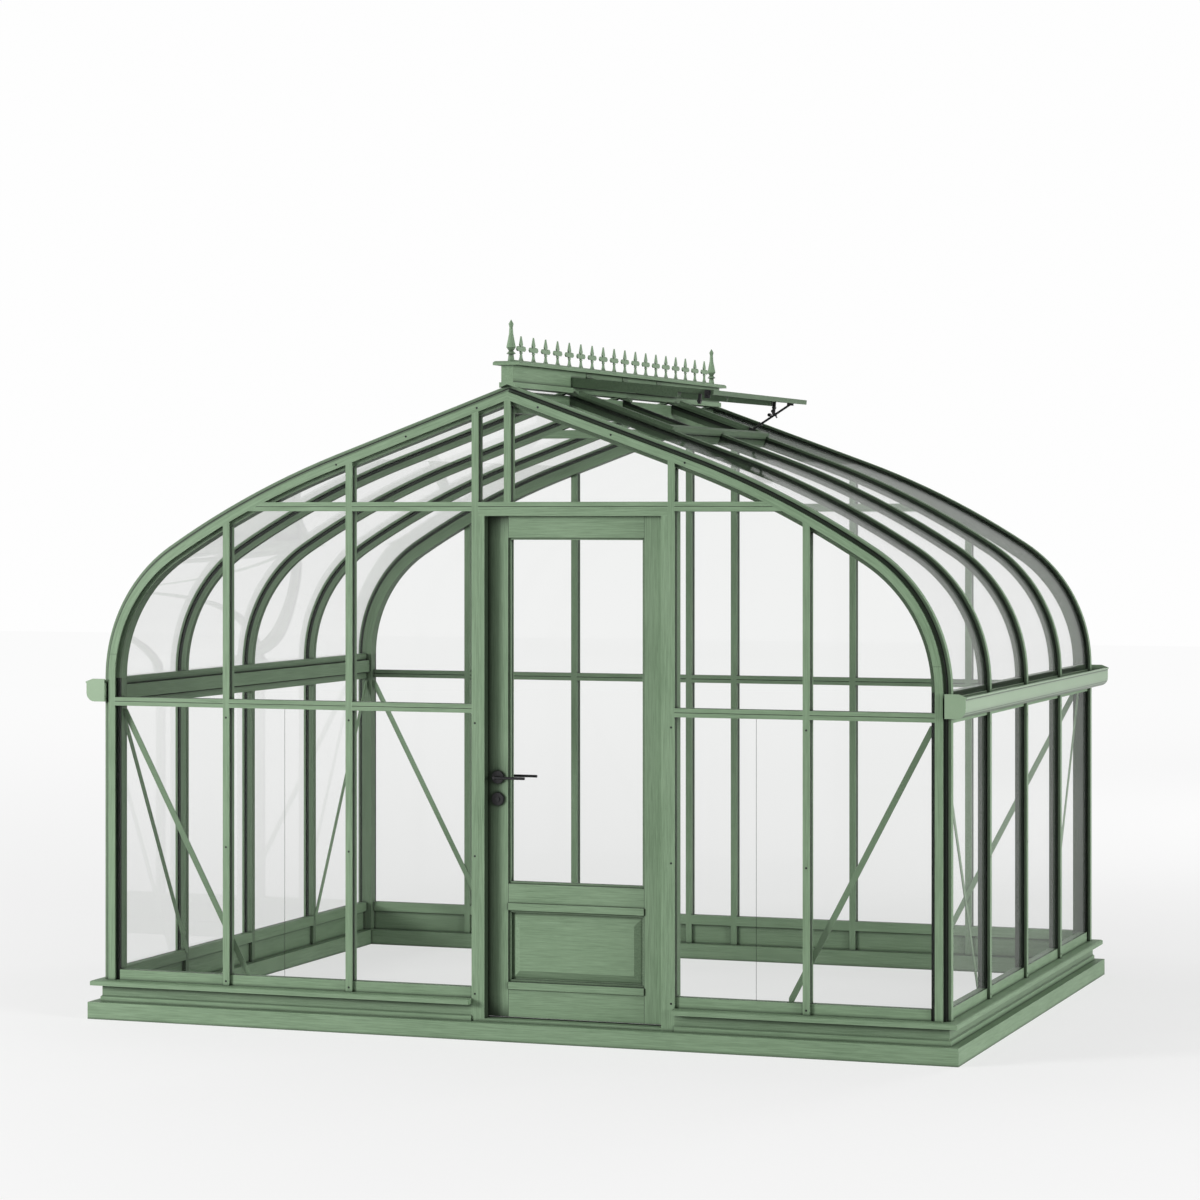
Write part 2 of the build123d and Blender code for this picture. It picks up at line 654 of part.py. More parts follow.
with BuildPart() as ridge_finials:
    for y in (FINIAL_IN - HALF_D, HALF_D - FINIAL_IN):
        add(finial.part.moved(Location((0, y, RIDGE_CAP_TOP))))
ridge_finials.part.label = "ridge_finials"

# Collar tie under the middle ribs
with BuildPart() as collar_tie:
    with BuildSketch(gable_plane(BAR_W / 2)):
        with Locations((0, APEX_Z - TIE_DROP)):
            Rectangle(HALF_W, TIE_H)
        add(arch_area(BODY_IN, PLINTH_H), mode=Mode.INTERSECT)
    extrude(amount=BAR_W)
collar_tie.part.label = "collar_tie"


def gable_glass(spans, z0, z1):
    gable_strips([(a + NECK_W / 2 + SLIP, b - NECK_W / 2 - SLIP) for a, b in spans],
                 WEB_B + SLIP, z0 + SLIP, GLASS_IN, GLASS_IN + GLASS_T, z1 - SLIP)


MID_WEB = MID_Z + MID_H / 2
TRANSOM_WEB = TRANSOM_Z + TRANSOM_H / 2
MID_LOW = MID_WEB - NECK_W / 2
MID_HIGH = MID_WEB + NECK_W / 2
TRANSOM_LOW = TRANSOM_WEB - NECK_W / 2
TRANSOM_HIGH = TRANSOM_WEB + NECK_W / 2

with BuildPart() as front_glass:
    gable_glass(FRONT_BAYS + EDGE_BAYS, RAIL_TOP, MID_LOW)
    gable_glass(FRONT_BAYS + EDGE_BAYS, MID_HIGH, TRANSOM_LOW)
    gable_glass([(-BAR_FAR, -BAR_NEAR), (-BAR_NEAR, LOCK_POST), (LOCK_POST, 0), (0, HINGE_POST),
                 (HINGE_POST, BAR_FAR)], TRANSOM_HIGH, HIGH)
front_glass.part.label = "front_glass"

with BuildPart() as back_glass_front:
    gable_glass(BACK_BAYS + EDGE_BAYS, RAIL_TOP, MID_LOW)
    gable_glass(BACK_BAYS + EDGE_BAYS, MID_HIGH, TRANSOM_LOW)
    gable_glass(BACK_BAYS, TRANSOM_HIGH, HIGH)

with BuildPart() as back_glass:
    mirror(back_glass_front.part, about=Plane.XZ)
back_glass.part.label = "back_glass"

with BuildPart() as side_wall_glass:
    for a, b in SIDE_PANES:
        side_slab(a + SLIP, b - SLIP, GLASS_IN, GLASS_IN + GLASS_T, RAIL_TOP + SLIP, PLATE_Z - SLIP)
    mirror(about=Plane.YZ)
side_wall_glass.part.label = "side_wall_glass"

def curved_band_glass(y0, y1):
    r0, r1 = GLASS_IN, GLASS_IN + GLASS_T
    foot0, _, crown0, c1, c2 = curve_nodes(r0)
    foot1, _, crown1, c1, c2 = curve_nodes(r1)
    z0 = GUTTER_BACK + SLIP
    with BuildSketch(gable_plane(y1)) as pane:
        with BuildLine():
            Line((foot0[0], z0), foot0)
            CenterArc(c1, LOWER_R - r0, 0, LOWER_TURN)
            CenterArc(c2, UPPER_R - r0, LOWER_TURN, UPPER_TURN)
            Line(crown0, crown1)
            CenterArc(c2, UPPER_R - r1, LOWER_TURN, UPPER_TURN)
            CenterArc(c1, LOWER_R - r1, 0, LOWER_TURN)
            Line(foot1, (foot1[0], z0))
            Line((foot1[0], z0), (foot0[0], z0))
        make_face()
    extrude(pane.sketch, amount=y1 - y0)


ROOF_SPANS = [(a + SLIP, b - SLIP) for a, b in SIDE_PANES]

with BuildPart() as roof_curved_glass:
    for y0, y1 in ROOF_SPANS:
        curved_band_glass(y0, y1)
    mirror(about=Plane.YZ)
roof_curved_glass.part.label = "roof_curved_glass"

TRIM_MID = VENT_TRIM + BAR_W / 2
GLASS_TOP_S = 18.0

with BuildPart() as left_flat_glass:
    for y0, y1 in ROOF_SPANS:
        slope_slab(GLASS_TOP_S, CROWN_S - SLIP, y0, y1, GLASS_IN, GLASS_IN + GLASS_T)

with BuildPart() as roof_flat_glass:
    mirror(left_flat_glass.part, about=Plane.YZ)
    for k, (y0, y1) in enumerate(ROOF_SPANS):
        top = GLASS_TOP_S if k in (0, len(ROOF_SPANS) - 1) else TRIM_MID + NECK_W / 2 + SLIP
        slope_slab(top, CROWN_S - SLIP, y0, y1, GLASS_IN, GLASS_IN + GLASS_T)
roof_flat_glass.part.label = "roof_flat_glass"

# Vent opening: trimmers between the ribs and a raised curb round the opening
VENT_BAYS = [(-SIDE_BAY, 0), (0, SIDE_BAY)]

with BuildPart() as vent_trimmers:
    for a, b in VENT_BAYS:
        slope_slab(VENT_TRIM, VENT_TRIM + BAR_W, a + BAR_W / 2, b - BAR_W / 2, BACK, BODY_IN)
        slope_slab(TRIM_MID - NECK_W / 2, TRIM_MID + NECK_W / 2, a + NECK_W / 2, b - NECK_W / 2,
                   CAP_T, BACK)
        slope_slab(VENT_TRIM, VENT_TRIM + BAR_W, a + BAR_W / 2, b - BAR_W / 2, 0, CAP_T)
vent_trimmers.part.label = "vent_trimmers"

with BuildPart() as vent_curb:
    outer = SIDE_BAY + BAR_W / 2
    inner = SIDE_BAY - BAR_W / 2
    slope_slab(VENT_CURB_FROM, VENT_TRIM + BAR_W, -outer, outer, -VENT_CURB_H, 0)
    slope_slab(0, VENT_TRIM, -inner, inner, -HIGH, HIGH, mode=Mode.SUBTRACT)
vent_curb.part.label = "vent_curb"

# Vent sash, fixed open, hung from the side of the ridge box
FALL = radians(VENT_FALL)


def sash_plane(y):
    return Plane(origin=(BOX_HALF, y, VENT_TOP_Z), x_dir=(cos(FALL), 0, -sin(FALL)), z_dir=(0, -1, 0))


def sash_slab(s0, s1, y0, y1, t0, t1, mode=Mode.ADD):
    with BuildSketch(sash_plane(y1)) as piece:
        with Locations(((s0 + s1) / 2, -(t0 + t1) / 2)):
            Rectangle(s1 - s0, t1 - t0)
    extrude(piece.sketch, amount=y1 - y0, mode=mode)


SASH_HALF = SIDE_BAY + BAR_W / 2
SASH_MEET = 60.0
SASH_GLASS_T0 = 8.0
SASH_GROOVE = 8.0

with BuildPart() as vent_sash:
    sash_slab(-VENT_T, VENT_LEN, -SASH_HALF, SASH_HALF, 0, VENT_UPPER)
    sash_slab(-VENT_T, VENT_TRIM, -SASH_HALF, SASH_HALF, VENT_UPPER, VENT_T)
    for a, b in ((-SASH_HALF + VENT_STILE, -VENT_BAR / 2), (VENT_BAR / 2, SASH_HALF - VENT_STILE)):
        sash_slab(SASH_MEET, VENT_LEN - VENT_STILE, a, b, -SLIP, VENT_T + SLIP, mode=Mode.SUBTRACT)
        sash_slab(SASH_MEET - SASH_GROOVE - SLIP, VENT_LEN - VENT_STILE + SASH_GROOVE + SLIP,
                  a - SASH_GROOVE - SLIP, b + SASH_GROOVE + SLIP,
                  SASH_GLASS_T0 - SLIP, SASH_GLASS_T0 + GLASS_T + SLIP, mode=Mode.SUBTRACT)
    slab(-HALF_W, BOX_HALF, -HALF_D, HALF_D, 0, HIGH, mode=Mode.SUBTRACT)
vent_sash.part.label = "vent_sash"

with BuildPart() as vent_glass:
    for a, b in ((-SASH_HALF + VENT_STILE, -VENT_BAR / 2), (VENT_BAR / 2, SASH_HALF - VENT_STILE)):
        sash_slab(SASH_MEET - SASH_GROOVE, VENT_LEN - VENT_STILE + SASH_GROOVE,
                  a - SASH_GROOVE, b + SASH_GROOVE, SASH_GLASS_T0, SASH_GLASS_T0 + GLASS_T)
vent_glass.part.label = "vent_glass"

# Black iron stay that holds the vent open at its far end, from a lug inside the curb
STAY_FOOT_S = VENT_TRIM - STAY_FOOT_UP
STAY_HEAD_S = VENT_LEN - STAY_HEAD_UP
STAY_Y = SIDE_BAY - BAR_W / 2 - STAY_R
SLOPE = radians(PITCH)

with BuildPart() as vent_stays:
    lift = VENT_CURB_H / 2
    drop = VENT_UPPER + STAY_R
    foot_x = STAY_FOOT_S * cos(SLOPE) + lift * sin(SLOPE)
    foot_z = APEX_Z - STAY_FOOT_S * sin(SLOPE) + lift * cos(SLOPE)
    head_x = BOX_HALF + STAY_HEAD_S * cos(FALL) - drop * sin(FALL)
    head_z = VENT_TOP_Z - STAY_HEAD_S * sin(FALL) - drop * cos(FALL)
    start = Vector(foot_x, STAY_Y, foot_z)
    stay = Vector(head_x, STAY_Y, head_z) - start
    with BuildSketch(Plane(origin=start, z_dir=stay)):
        Circle(STAY_R)
    extrude(amount=stay.length)
    slope_slab(STAY_FOOT_S - STAY_LUG, STAY_FOOT_S + STAY_LUG, STAY_Y - STAY_R, STAY_Y + STAY_R,
               -VENT_CURB_H, 0)
    sash_slab(STAY_HEAD_S - STAY_LUG, STAY_HEAD_S + STAY_LUG, STAY_Y - STAY_R, STAY_Y + STAY_R,
              VENT_UPPER, VENT_UPPER + 2 * STAY_R)
vent_stays.part.label = "vent_stays"

# Door frame: stop and rebate on each post and under the transom
LOCK_FACE = LOCK_POST + BAR_W / 2
HINGE_FACE = HINGE_POST - BAR_W / 2

with BuildPart() as door_frame:
    front_slab(LOCK_FACE, LOCK_FACE + STOP_W, SLIP, STOP_IN, THRESHOLD_TOP, HEAD_Z)
    front_slab(HINGE_FACE - STOP_W, HINGE_FACE, SLIP, STOP_IN, THRESHOLD_TOP, HEAD_Z)
    front_slab(LOCK_FACE, LOCK_FACE + REBATE_W, STOP_IN, JAMB_IN, THRESHOLD_TOP, HEAD_REBATE)
    front_slab(HINGE_FACE - REBATE_W, HINGE_FACE, STOP_IN, JAMB_IN, THRESHOLD_TOP, HEAD_REBATE)
    front_slab(LOCK_FACE, HINGE_FACE, SLIP, STOP_IN, HEAD_Z, TRANSOM_Z)
    front_slab(LOCK_FACE, HINGE_FACE, STOP_IN, JAMB_IN, HEAD_REBATE, TRANSOM_Z)
door_frame.part.label = "door_frame"

with BuildPart() as door_threshold:
    front_slab(LOCK_FACE, HINGE_FACE, SLIP, PLINTH_IN, PLINTH_H, THRESHOLD_TOP)
door_threshold.part.label = "door_threshold"

# Door leaf
GLASS_MARGIN = 8.0
LEAF_MID = (LEAF_D0 + LEAF_D1) / 2
PANE_X0 = LEAF_X0 + STILE_W
PANE_X1 = LEAF_X1 - STILE_W

with BuildPart() as leaf_body:
    front_slab(LEAF_X0, LEAF_X1, LEAF_D0, LEAF_D1, LEAF_Z0, LEAF_Z1)
    front_slab(PANE_X0, PANE_X1, LEAF_D0 - MOULD_T, LEAF_D0, LOCK_RAIL_Z0, LOCK_RAIL_Z0 + MOULD_H)
    front_slab(PANE_X0, PANE_X1, LEAF_D0 - MOULD_T, LEAF_D0, FOOT_RAIL_Z - MOULD_H, FOOT_RAIL_Z)
    for z0, z1 in ((LOCK_RAIL_Z1, TOP_RAIL_Z), (FOOT_RAIL_Z, LOCK_RAIL_Z0)):
        front_slab(PANE_X0, PANE_X1, LEAF_D0, LEAF_D0 + BEAD_IN, z0, z1, mode=Mode.SUBTRACT)
        front_slab(PANE_X0, PANE_X1, LEAF_D1 - BEAD_IN, LEAF_D1, z0, z1, mode=Mode.SUBTRACT)
        front_slab(PANE_X0 + BEAD_W, PANE_X1 - BEAD_W, LEAF_D0, LEAF_D1, z0 + BEAD_W, z1 - BEAD_W,
                   mode=Mode.SUBTRACT)
        front_slab(PANE_X0 - GLASS_MARGIN - SLIP, PANE_X1 + GLASS_MARGIN + SLIP,
                   LEAF_MID - GLASS_T / 2 - SLIP, LEAF_MID + GLASS_T / 2 + SLIP,
                   z0 - GLASS_MARGIN - SLIP, z1 + GLASS_MARGIN + SLIP, mode=Mode.SUBTRACT)

with BuildPart() as door_stiles:
    add(leaf_body.part)
    front_slab(PANE_X0, PANE_X1, 0, HALF_D, 0, HIGH, mode=Mode.SUBTRACT)
    disc(LEVER_X, LEVER_Z, LEAF_D0 - HALF_D, LEAF_D1 - HALF_D, SPINDLE_R + LEVER_GAP, mode=Mode.SUBTRACT)
door_stiles.part.label = "door_stiles"

with BuildPart() as door_rails:
    add(leaf_body.part)
    front_slab(LEAF_X0, PANE_X0, 0, HALF_D, 0, HIGH, mode=Mode.SUBTRACT)
    front_slab(PANE_X1, LEAF_X1, 0, HALF_D, 0, HIGH, mode=Mode.SUBTRACT)
door_rails.part.label = "door_rails"

with BuildPart() as door_glass:
    front_slab(PANE_X0 - GLASS_MARGIN, PANE_X1 + GLASS_MARGIN,
               LEAF_MID - GLASS_T / 2, LEAF_MID + GLASS_T / 2,
               LOCK_RAIL_Z1 - GLASS_MARGIN, TOP_RAIL_Z + GLASS_MARGIN)
door_glass.part.label = "door_glass"

with BuildPart() as door_panel:
    front_slab(PANE_X0 - GLASS_MARGIN, PANE_X1 + GLASS_MARGIN,
               LEAF_MID - GLASS_T / 2, LEAF_MID + GLASS_T / 2,
               FOOT_RAIL_Z - GLASS_MARGIN, LOCK_RAIL_Z0 + GLASS_MARGIN)
    for side in (-1, 1):
        with BuildSketch(gable_plane(LEAF_MID - HALF_D + side * GLASS_T / 2)) as field:
            with Locations(((PANE_X0 + PANE_X1) / 2, (FOOT_RAIL_Z + LOCK_RAIL_Z0) / 2)):
                Rectangle(PANE_X1 - PANE_X0 - PANEL_MARGIN, LOCK_RAIL_Z0 - FOOT_RAIL_Z - PANEL_MARGIN)
        extrude(field.sketch, amount=-side * PANEL_RISE, taper=degrees(atan2(PANEL_BEVEL, PANEL_RISE)))
door_panel.part.label = "door_panel"

# Lock furniture on the leaf and the lever that turns in it
FACE_OUT = LEAF_D0 - HALF_D
FACE_IN = LEAF_D1 - HALF_D

with BuildPart() as lock_furniture:
    for z in (LEVER_Z, KEY_Z):
        disc(LEVER_X, z, FACE_OUT - ROSE_T, FACE_OUT, ROSE_R)
        disc(LEVER_X, z, FACE_IN, FACE_IN + ROSE_T, ROSE_R)
    disc(LEVER_X, KEY_Z, FACE_OUT - ROSE_T - KEY_T, FACE_OUT - ROSE_T, KEY_R)
    disc(LEVER_X, LEVER_Z, FACE_OUT - ROSE_T, FACE_IN + ROSE_T, SPINDLE_R + LEVER_GAP, mode=Mode.SUBTRACT)
lock_furniture.part.label = "lock_furniture"

with BuildPart() as door_lever:
    disc(LEVER_X, LEVER_Z, FACE_OUT - LEVER_OUT, FACE_IN + LEVER_OUT, SPINDLE_R)
    disc(LEVER_X, LEVER_Z, FACE_OUT - LEVER_OUT - LEVER_R, FACE_OUT - ROSE_T - LEVER_GAP, LEVER_R)
    disc(LEVER_X, LEVER_Z, FACE_IN + ROSE_T + LEVER_GAP, FACE_IN + LEVER_OUT + LEVER_R, LEVER_R)
    for y in (FACE_OUT - LEVER_OUT, FACE_IN + LEVER_OUT):
        with BuildSketch(Plane(origin=(LEVER_X, y, LEVER_Z), x_dir=(0, 1, 0), z_dir=(1, 0, 0))) as grip:
            Circle(LEVER_R)
        extrude(grip.sketch, amount=LEVER_REACH)
door_lever.part.label = "door_lever"

# Butt hinges on the inner face, pins on the frame side
with BuildPart() as door_hinge_pins:
    for z in HINGE_ZS:
        with BuildSketch(Plane.XY.offset(z)) as pin:
            with Locations((HINGE_X, HINGE_D - HALF_D)):
                Circle(PIN_R)
        extrude(pin.sketch, amount=HINGE_H)
        with BuildSketch(Plane.XY.offset(z)) as knuckle:
            with Locations((HINGE_X, HINGE_D - HALF_D)):
                Circle(HINGE_R)
        extrude(knuckle.sketch, amount=HINGE_H / 2 - LEVER_GAP)
        front_slab(HINGE_X + PIN_R, HINGE_FACE, LEAF_D1, LEAF_D1 + HINGE_LEAF_T,
                   z, z + HINGE_H / 2 - LEVER_GAP)
door_hinge_pins.part.label = "door_hinge_pins"

with BuildPart() as door_hinge_leaves:
    for z in HINGE_ZS:
        with BuildSketch(Plane.XY.offset(z + HINGE_H / 2 + LEVER_GAP)) as knuckle:
            with Locations((HINGE_X, HINGE_D - HALF_D)):
                Circle(HINGE_R)
                Circle(PIN_R + LEVER_GAP, mode=Mode.SUBTRACT)
        extrude(knuckle.sketch, amount=HINGE_H / 2 - LEVER_GAP)
        front_slab(HINGE_X - HINGE_LEAF_W, LEAF_X1, LEAF_D1, LEAF_D1 + HINGE_LEAF_T,
                   z + HINGE_H / 2 + LEVER_GAP, z + HINGE_H)
door_hinge_leaves.part.label = "door_hinge_leaves"

# Diagonal braces inside the corners, from the post down to the bottom rail
def strap_area(reach, end):
    rise = BRACE_TOP_Z - BRACE_LOW_Z
    middle = (end - reach / 2, BRACE_LOW_Z + rise / 2)
    with BuildSketch(mode=Mode.PRIVATE) as strap:
        with Locations(Location((*middle, 0), (0, 0, degrees(atan2(rise, reach))))):
            Rectangle(reach + rise, BRACE_W)
        with Locations(middle):
            Rectangle(reach, rise, mode=Mode.INTERSECT)
    return strap.sketch


with BuildPart() as end_brace:
    with BuildSketch(gable_plane(BODY_IN + BRACE_T - HALF_D)):
        add(strap_area(HALF_W - POST_IN - BRACE_LOW_X, HALF_W - POST_IN))
    extrude(amount=BRACE_T)

with BuildPart() as side_brace:
    with BuildSketch(Plane(origin=(HALF_W - BODY_IN - BRACE_T, 0, 0), x_dir=(0, 1, 0), z_dir=(1, 0, 0))):
        add(strap_area(HALF_D - POST_IN - SIDE_BAY, HALF_D - POST_IN))
    extrude(amount=BRACE_T)

with BuildPart() as corner_braces:
    four_corners(end_brace.part)
    four_corners(side_brace.part)
corner_braces.part.label = "corner_braces"

for piece in (plinth_sides, plinth_ends, side_sills, back_sill, front_sill, corner_posts,
              front_right_rafter, front_left_rafter, back_right_rafter, back_left_rafter,
              left_roof_ribs, right_roof_ribs, side_wall_bars, front_wall_bars, door_posts,
              king_post, back_wall_bars, front_rails, back_rails, front_base, back_base,
              side_base, eaves_plates, right_gutter, left_gutter, ridge_board, ridge_box,
              ridge_cap, ridge_cresting, ridge_finials, collar_tie, front_glass, back_glass,
              side_wall_glass, roof_curved_glass, roof_flat_glass, vent_trimmers, vent_curb,
              vent_sash, vent_glass, vent_stays, door_frame, door_threshold, door_stiles,
              door_rails, door_glass, door_panel, lock_furniture, door_lever,
              door_hinge_pins, door_hinge_leaves, corner_braces):
    export_step(piece.part, "parts/" + piece.part.label + ".step")
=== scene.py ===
import math
from functools import reduce

import bmesh
import bpy
from mathutils import Matrix, Vector


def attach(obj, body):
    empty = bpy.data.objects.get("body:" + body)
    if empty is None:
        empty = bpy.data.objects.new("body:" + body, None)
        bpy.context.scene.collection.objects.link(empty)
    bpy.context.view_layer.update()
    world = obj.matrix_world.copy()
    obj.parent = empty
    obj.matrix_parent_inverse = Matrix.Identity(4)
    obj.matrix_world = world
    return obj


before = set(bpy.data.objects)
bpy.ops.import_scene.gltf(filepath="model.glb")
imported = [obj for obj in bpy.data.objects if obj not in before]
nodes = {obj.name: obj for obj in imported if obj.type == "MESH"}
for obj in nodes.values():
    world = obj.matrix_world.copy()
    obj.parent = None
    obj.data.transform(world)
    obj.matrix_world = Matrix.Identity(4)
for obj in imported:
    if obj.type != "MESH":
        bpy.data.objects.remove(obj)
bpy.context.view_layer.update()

# Photograph: its width in pixels, its focal length and the row of its horizon
PHOTO_SIDE = 1200
FOCAL_PX = 3422.9
HORIZON_PX = 514.2
CAMERA_AT = (4.930, -14.008, 2.088)
CAMERA_YAW = math.radians(19.716)
SENSOR = 36.0

# Outline of the greenhouse, metres, the same sizes as in the CAD
HALF_W = 1.8
HALF_D = 1.344
SPRING_Z = 1.41
LOWER_R = 0.65
LOWER_TURN = math.radians(57)
UPPER_R = 3.7
UPPER_TURN = math.radians(13)
PITCH = math.radians(90) - LOWER_TURN - UPPER_TURN
APEX_Z = 2.60347

# Sockets of the Mix node: its two inputs and its output
MIX_VECTOR = (4, 5, 1)
MIX_COLOUR = (6, 7, 2)


# Shader helpers
def new_material(name):
    mat = bpy.data.materials.new(name)
    mat.use_nodes = True
    tree = mat.node_tree
    tree.nodes.clear()
    out = tree.nodes.new("ShaderNodeOutputMaterial")
    return mat, tree, out


def feed(tree, socket, value):
    """Link a socket to another one, or give it a value."""
    if isinstance(value, bpy.types.NodeSocket):
        tree.links.new(value, socket)
    else:
        socket.default_value = value


def node(tree, kind, **inputs):
    made = tree.nodes.new(kind)
    for key, value in inputs.items():
        feed(tree, made.inputs[key.replace("_", " ")], value)
    return made


def math_node(tree, operation, a, b=0.0, c=0.0):
    made = tree.nodes.new("ShaderNodeMath")
    made.operation = operation
    for socket, value in zip(made.inputs, (a, b, c)):
        feed(tree, socket, value)
    return made.outputs[0]


def product(tree, *values):
    return reduce(lambda a, b: math_node(tree, "MULTIPLY", a, b), values)


def highest(tree, *values):
    return reduce(lambda a, b: math_node(tree, "MAXIMUM", a, b), values)


def minus(tree, a, b):
    return math_node(tree, "SUBTRACT", a, b)


def over(tree, value, limit):
    return math_node(tree, "GREATER_THAN", value, limit)


def below(tree, value, limit):
    return math_node(tree, "LESS_THAN", value, limit)


def inside(tree, value, low, high):
    return product(tree, over(tree, value, low), below(tree, value, high))


def size_of(tree, value):
    return math_node(tree, "ABSOLUTE", value)


def mix(tree, factor, a, b, data_type, sockets):
    made = tree.nodes.new("ShaderNodeMix")
    made.data_type = data_type
    feed(tree, made.inputs[0], factor)
    feed(tree, made.inputs[sockets[0]], a)
    feed(tree, made.inputs[sockets[1]], b)
    return made.outputs[sockets[2]]


def mix_colour(tree, factor, a, b):
    return mix(tree, factor, a, b, "RGBA", MIX_COLOUR)


def map_range(tree, value, from_low, from_high, to_low, to_high, smooth=False):
    made = tree.nodes.new("ShaderNodeMapRange")
    if smooth:
        made.interpolation_type = "SMOOTHSTEP"
    for socket, given in zip(made.inputs, (value, from_low, from_high, to_low, to_high)):
        feed(tree, socket, given)
    return made.outputs[0]


def ramp(tree, factor, low, high, low_at=0.0, high_at=1.0):
    made = tree.nodes.new("ShaderNodeValToRGB")
    tree.links.new(factor, made.inputs[0])
    made.color_ramp.elements[0].position = low_at
    made.color_ramp.elements[1].position = high_at
    made.color_ramp.elements[0].color = low
    made.color_ramp.elements[1].color = high
    return made.outputs[0]


def grey(value):
    return (value, value, value, 1.0)


def rising(tree, factor, span):
    return ramp(tree, factor, grey(0.0), grey(1.0), *span)


def falling(tree, factor, span):
    return ramp(tree, factor, grey(1.0), grey(0.0), *span)


# Places and directions on the surface
def plain_vector(tree):
    return node(tree, "ShaderNodeTexCoord").outputs["Object"]


def place_of(tree):
    return list(node(tree, "ShaderNodeSeparateXYZ", Vector=plain_vector(tree)).outputs)


def facing_of(tree):
    shape = tree.nodes.new("ShaderNodeNewGeometry")
    return list(node(tree, "ShaderNodeSeparateXYZ", Vector=shape.outputs["Normal"]).outputs)


def wall_depths(tree, x, y):
    """Distances in from the side walls and from the gables."""
    return minus(tree, HALF_W, size_of(tree, x)), minus(tree, HALF_D, size_of(tree, y))


def curve_depth(tree, x, z):
    """Distance in from the outline of the roof, at the distance x from its middle."""
    cx, cz = HALF_W - LOWER_R, SPRING_Z
    ux = cx - (UPPER_R - LOWER_R) * math.cos(LOWER_TURN)
    uz = cz - (UPPER_R - LOWER_R) * math.sin(LOWER_TURN)

    def radius(px, pz):
        dx = minus(tree, x, px)
        dz = math_node(tree, "MAXIMUM", minus(tree, z, pz), 0.0)
        squares = math_node(tree, "ADD", product(tree, dx, dx), product(tree, dz, dz))
        return math_node(tree, "SQRT", squares)

    def past(px, pz, turn):
        return over(tree, minus(tree, z, pz), product(tree, minus(tree, x, px), math.tan(turn)))

    def choose(test, yes, no):
        return math_node(tree, "ADD", product(tree, test, yes), product(tree, minus(tree, 1.0, test), no))

    low = minus(tree, LOWER_R, radius(cx, cz))
    high = minus(tree, UPPER_R, radius(ux, uz))
    drop = math_node(tree, "MULTIPLY_ADD", x, -math.sin(PITCH), APEX_Z * math.cos(PITCH))
    slope = minus(tree, drop, product(tree, z, math.cos(PITCH)))
    curved = choose(past(cx, cz, LOWER_TURN), high, low)
    return choose(past(ux, uz, LOWER_TURN + UPPER_TURN), slope, curved)


def roof_place(tree):
    """Distances in from the outline of the roof and from the gable, with signed x and height."""
    x, y, z = place_of(tree)
    depth = curve_depth(tree, size_of(tree, x), z)
    return depth, minus(tree, HALF_D, size_of(tree, y)), x, z


# Grain of the timber: coordinates squeezed along it, so that noise on them reads as long fibres
GRAIN_SQUEEZE = 0.03
# Height from which the grain of the door frame runs across
DOOR_HEAD_Z = 2.081


def straight_grain(tree, axis):
    squeeze = node(tree, "ShaderNodeMapping", Vector=plain_vector(tree))
    scale = [1.0, 1.0, 1.0]
    scale["XYZ".index(axis)] = GRAIN_SQUEEZE
    squeeze.inputs["Scale"].default_value = scale
    return squeeze.outputs[0]


def grain_x(tree):
    return straight_grain(tree, "X")


def grain_y(tree):
    return straight_grain(tree, "Y")


def grain_z(tree):
    return straight_grain(tree, "Z")


def curved_grain(tree):
    """The same along the curve of the eaves: distance in from the outline, and a slow run along it."""
    x, y, z = place_of(tree)
    out = size_of(tree, x)
    along = product(tree, minus(tree, z, out), GRAIN_SQUEEZE)
    joined = node(tree, "ShaderNodeCombineXYZ", X=curve_depth(tree, out, z), Y=y, Z=along)
    return joined.outputs[0]


def frame_grain(tree):
    """Grain along the jambs, turned across along the head above them."""
    head = over(tree, place_of(tree)[2], DOOR_HEAD_Z)
    return mix(tree, head, grain_z(tree), grain_x(tree), "VECTOR", MIX_VECTOR)


# Black glazing strip in the groove between the capping and the body of a bar; on the walls and the roof
# it goes on down the sides of the body as painted shade
GROOVE_FROM = 0.0119
GROOVE_TO = 0.0158
WALL_STRIP_TO = 0.026
ROOF_STRIP_FROM = 0.0115
ROOF_STRIP_TO = 0.028
# On the corner between roof and gable it shows as a thin line
CORNER_STRIP_TO = 0.0180
CORNER_END = 0.0175
# On the gables it shows only along the outer edge of the curve
STRIP_REACH = 0.030
# Butt joint between the straight and the curved length of a gable rafter
SEAM_Z = 1.508
SEAM_X = 1.60
SEAM_W = 0.0011
SEAM_END = 0.012


def wall_groove(tree):
    x, y = place_of(tree)[:2]
    in_x, in_y = wall_depths(tree, x, y)
    return highest(tree, *[product(tree, inside(tree, depth, GROOVE_FROM, WALL_STRIP_TO),
                                   over(tree, other, GROOVE_FROM))
                           for depth, other in ((in_x, in_y), (in_y, in_x))])


def roof_groove(tree):
    depth, end, x, z = roof_place(tree)
    outer = product(tree, inside(tree, end, GROOVE_FROM, GROOVE_TO), below(tree, depth, STRIP_REACH))
    roof = product(tree, inside(tree, depth, ROOF_STRIP_FROM, ROOF_STRIP_TO), over(tree, end, CORNER_END))
    corner = product(tree, inside(tree, depth, GROOVE_FROM, CORNER_STRIP_TO),
                     over(tree, end, GROOVE_FROM))
    seam = product(tree, inside(tree, z, SEAM_Z, SEAM_Z + SEAM_W), over(tree, size_of(tree, x), SEAM_X),
                   below(tree, end, SEAM_END))
    return highest(tree, outer, roof, corner, seam)


# Shade on the bodies of the bars just behind the glass: where it starts, how far in it fades out,
# and its strength on the gables and on the two sides
SHADE_FROM = 0.0158
SIDE_SHADE_TO = 0.240
GABLE_SHADE_TO = 0.045
ROOF_SHADE_TO = 0.110
SHADE_GABLE = 0.75
SHADE_LEFT = 0.45
SHADE_RIGHT = 0.97
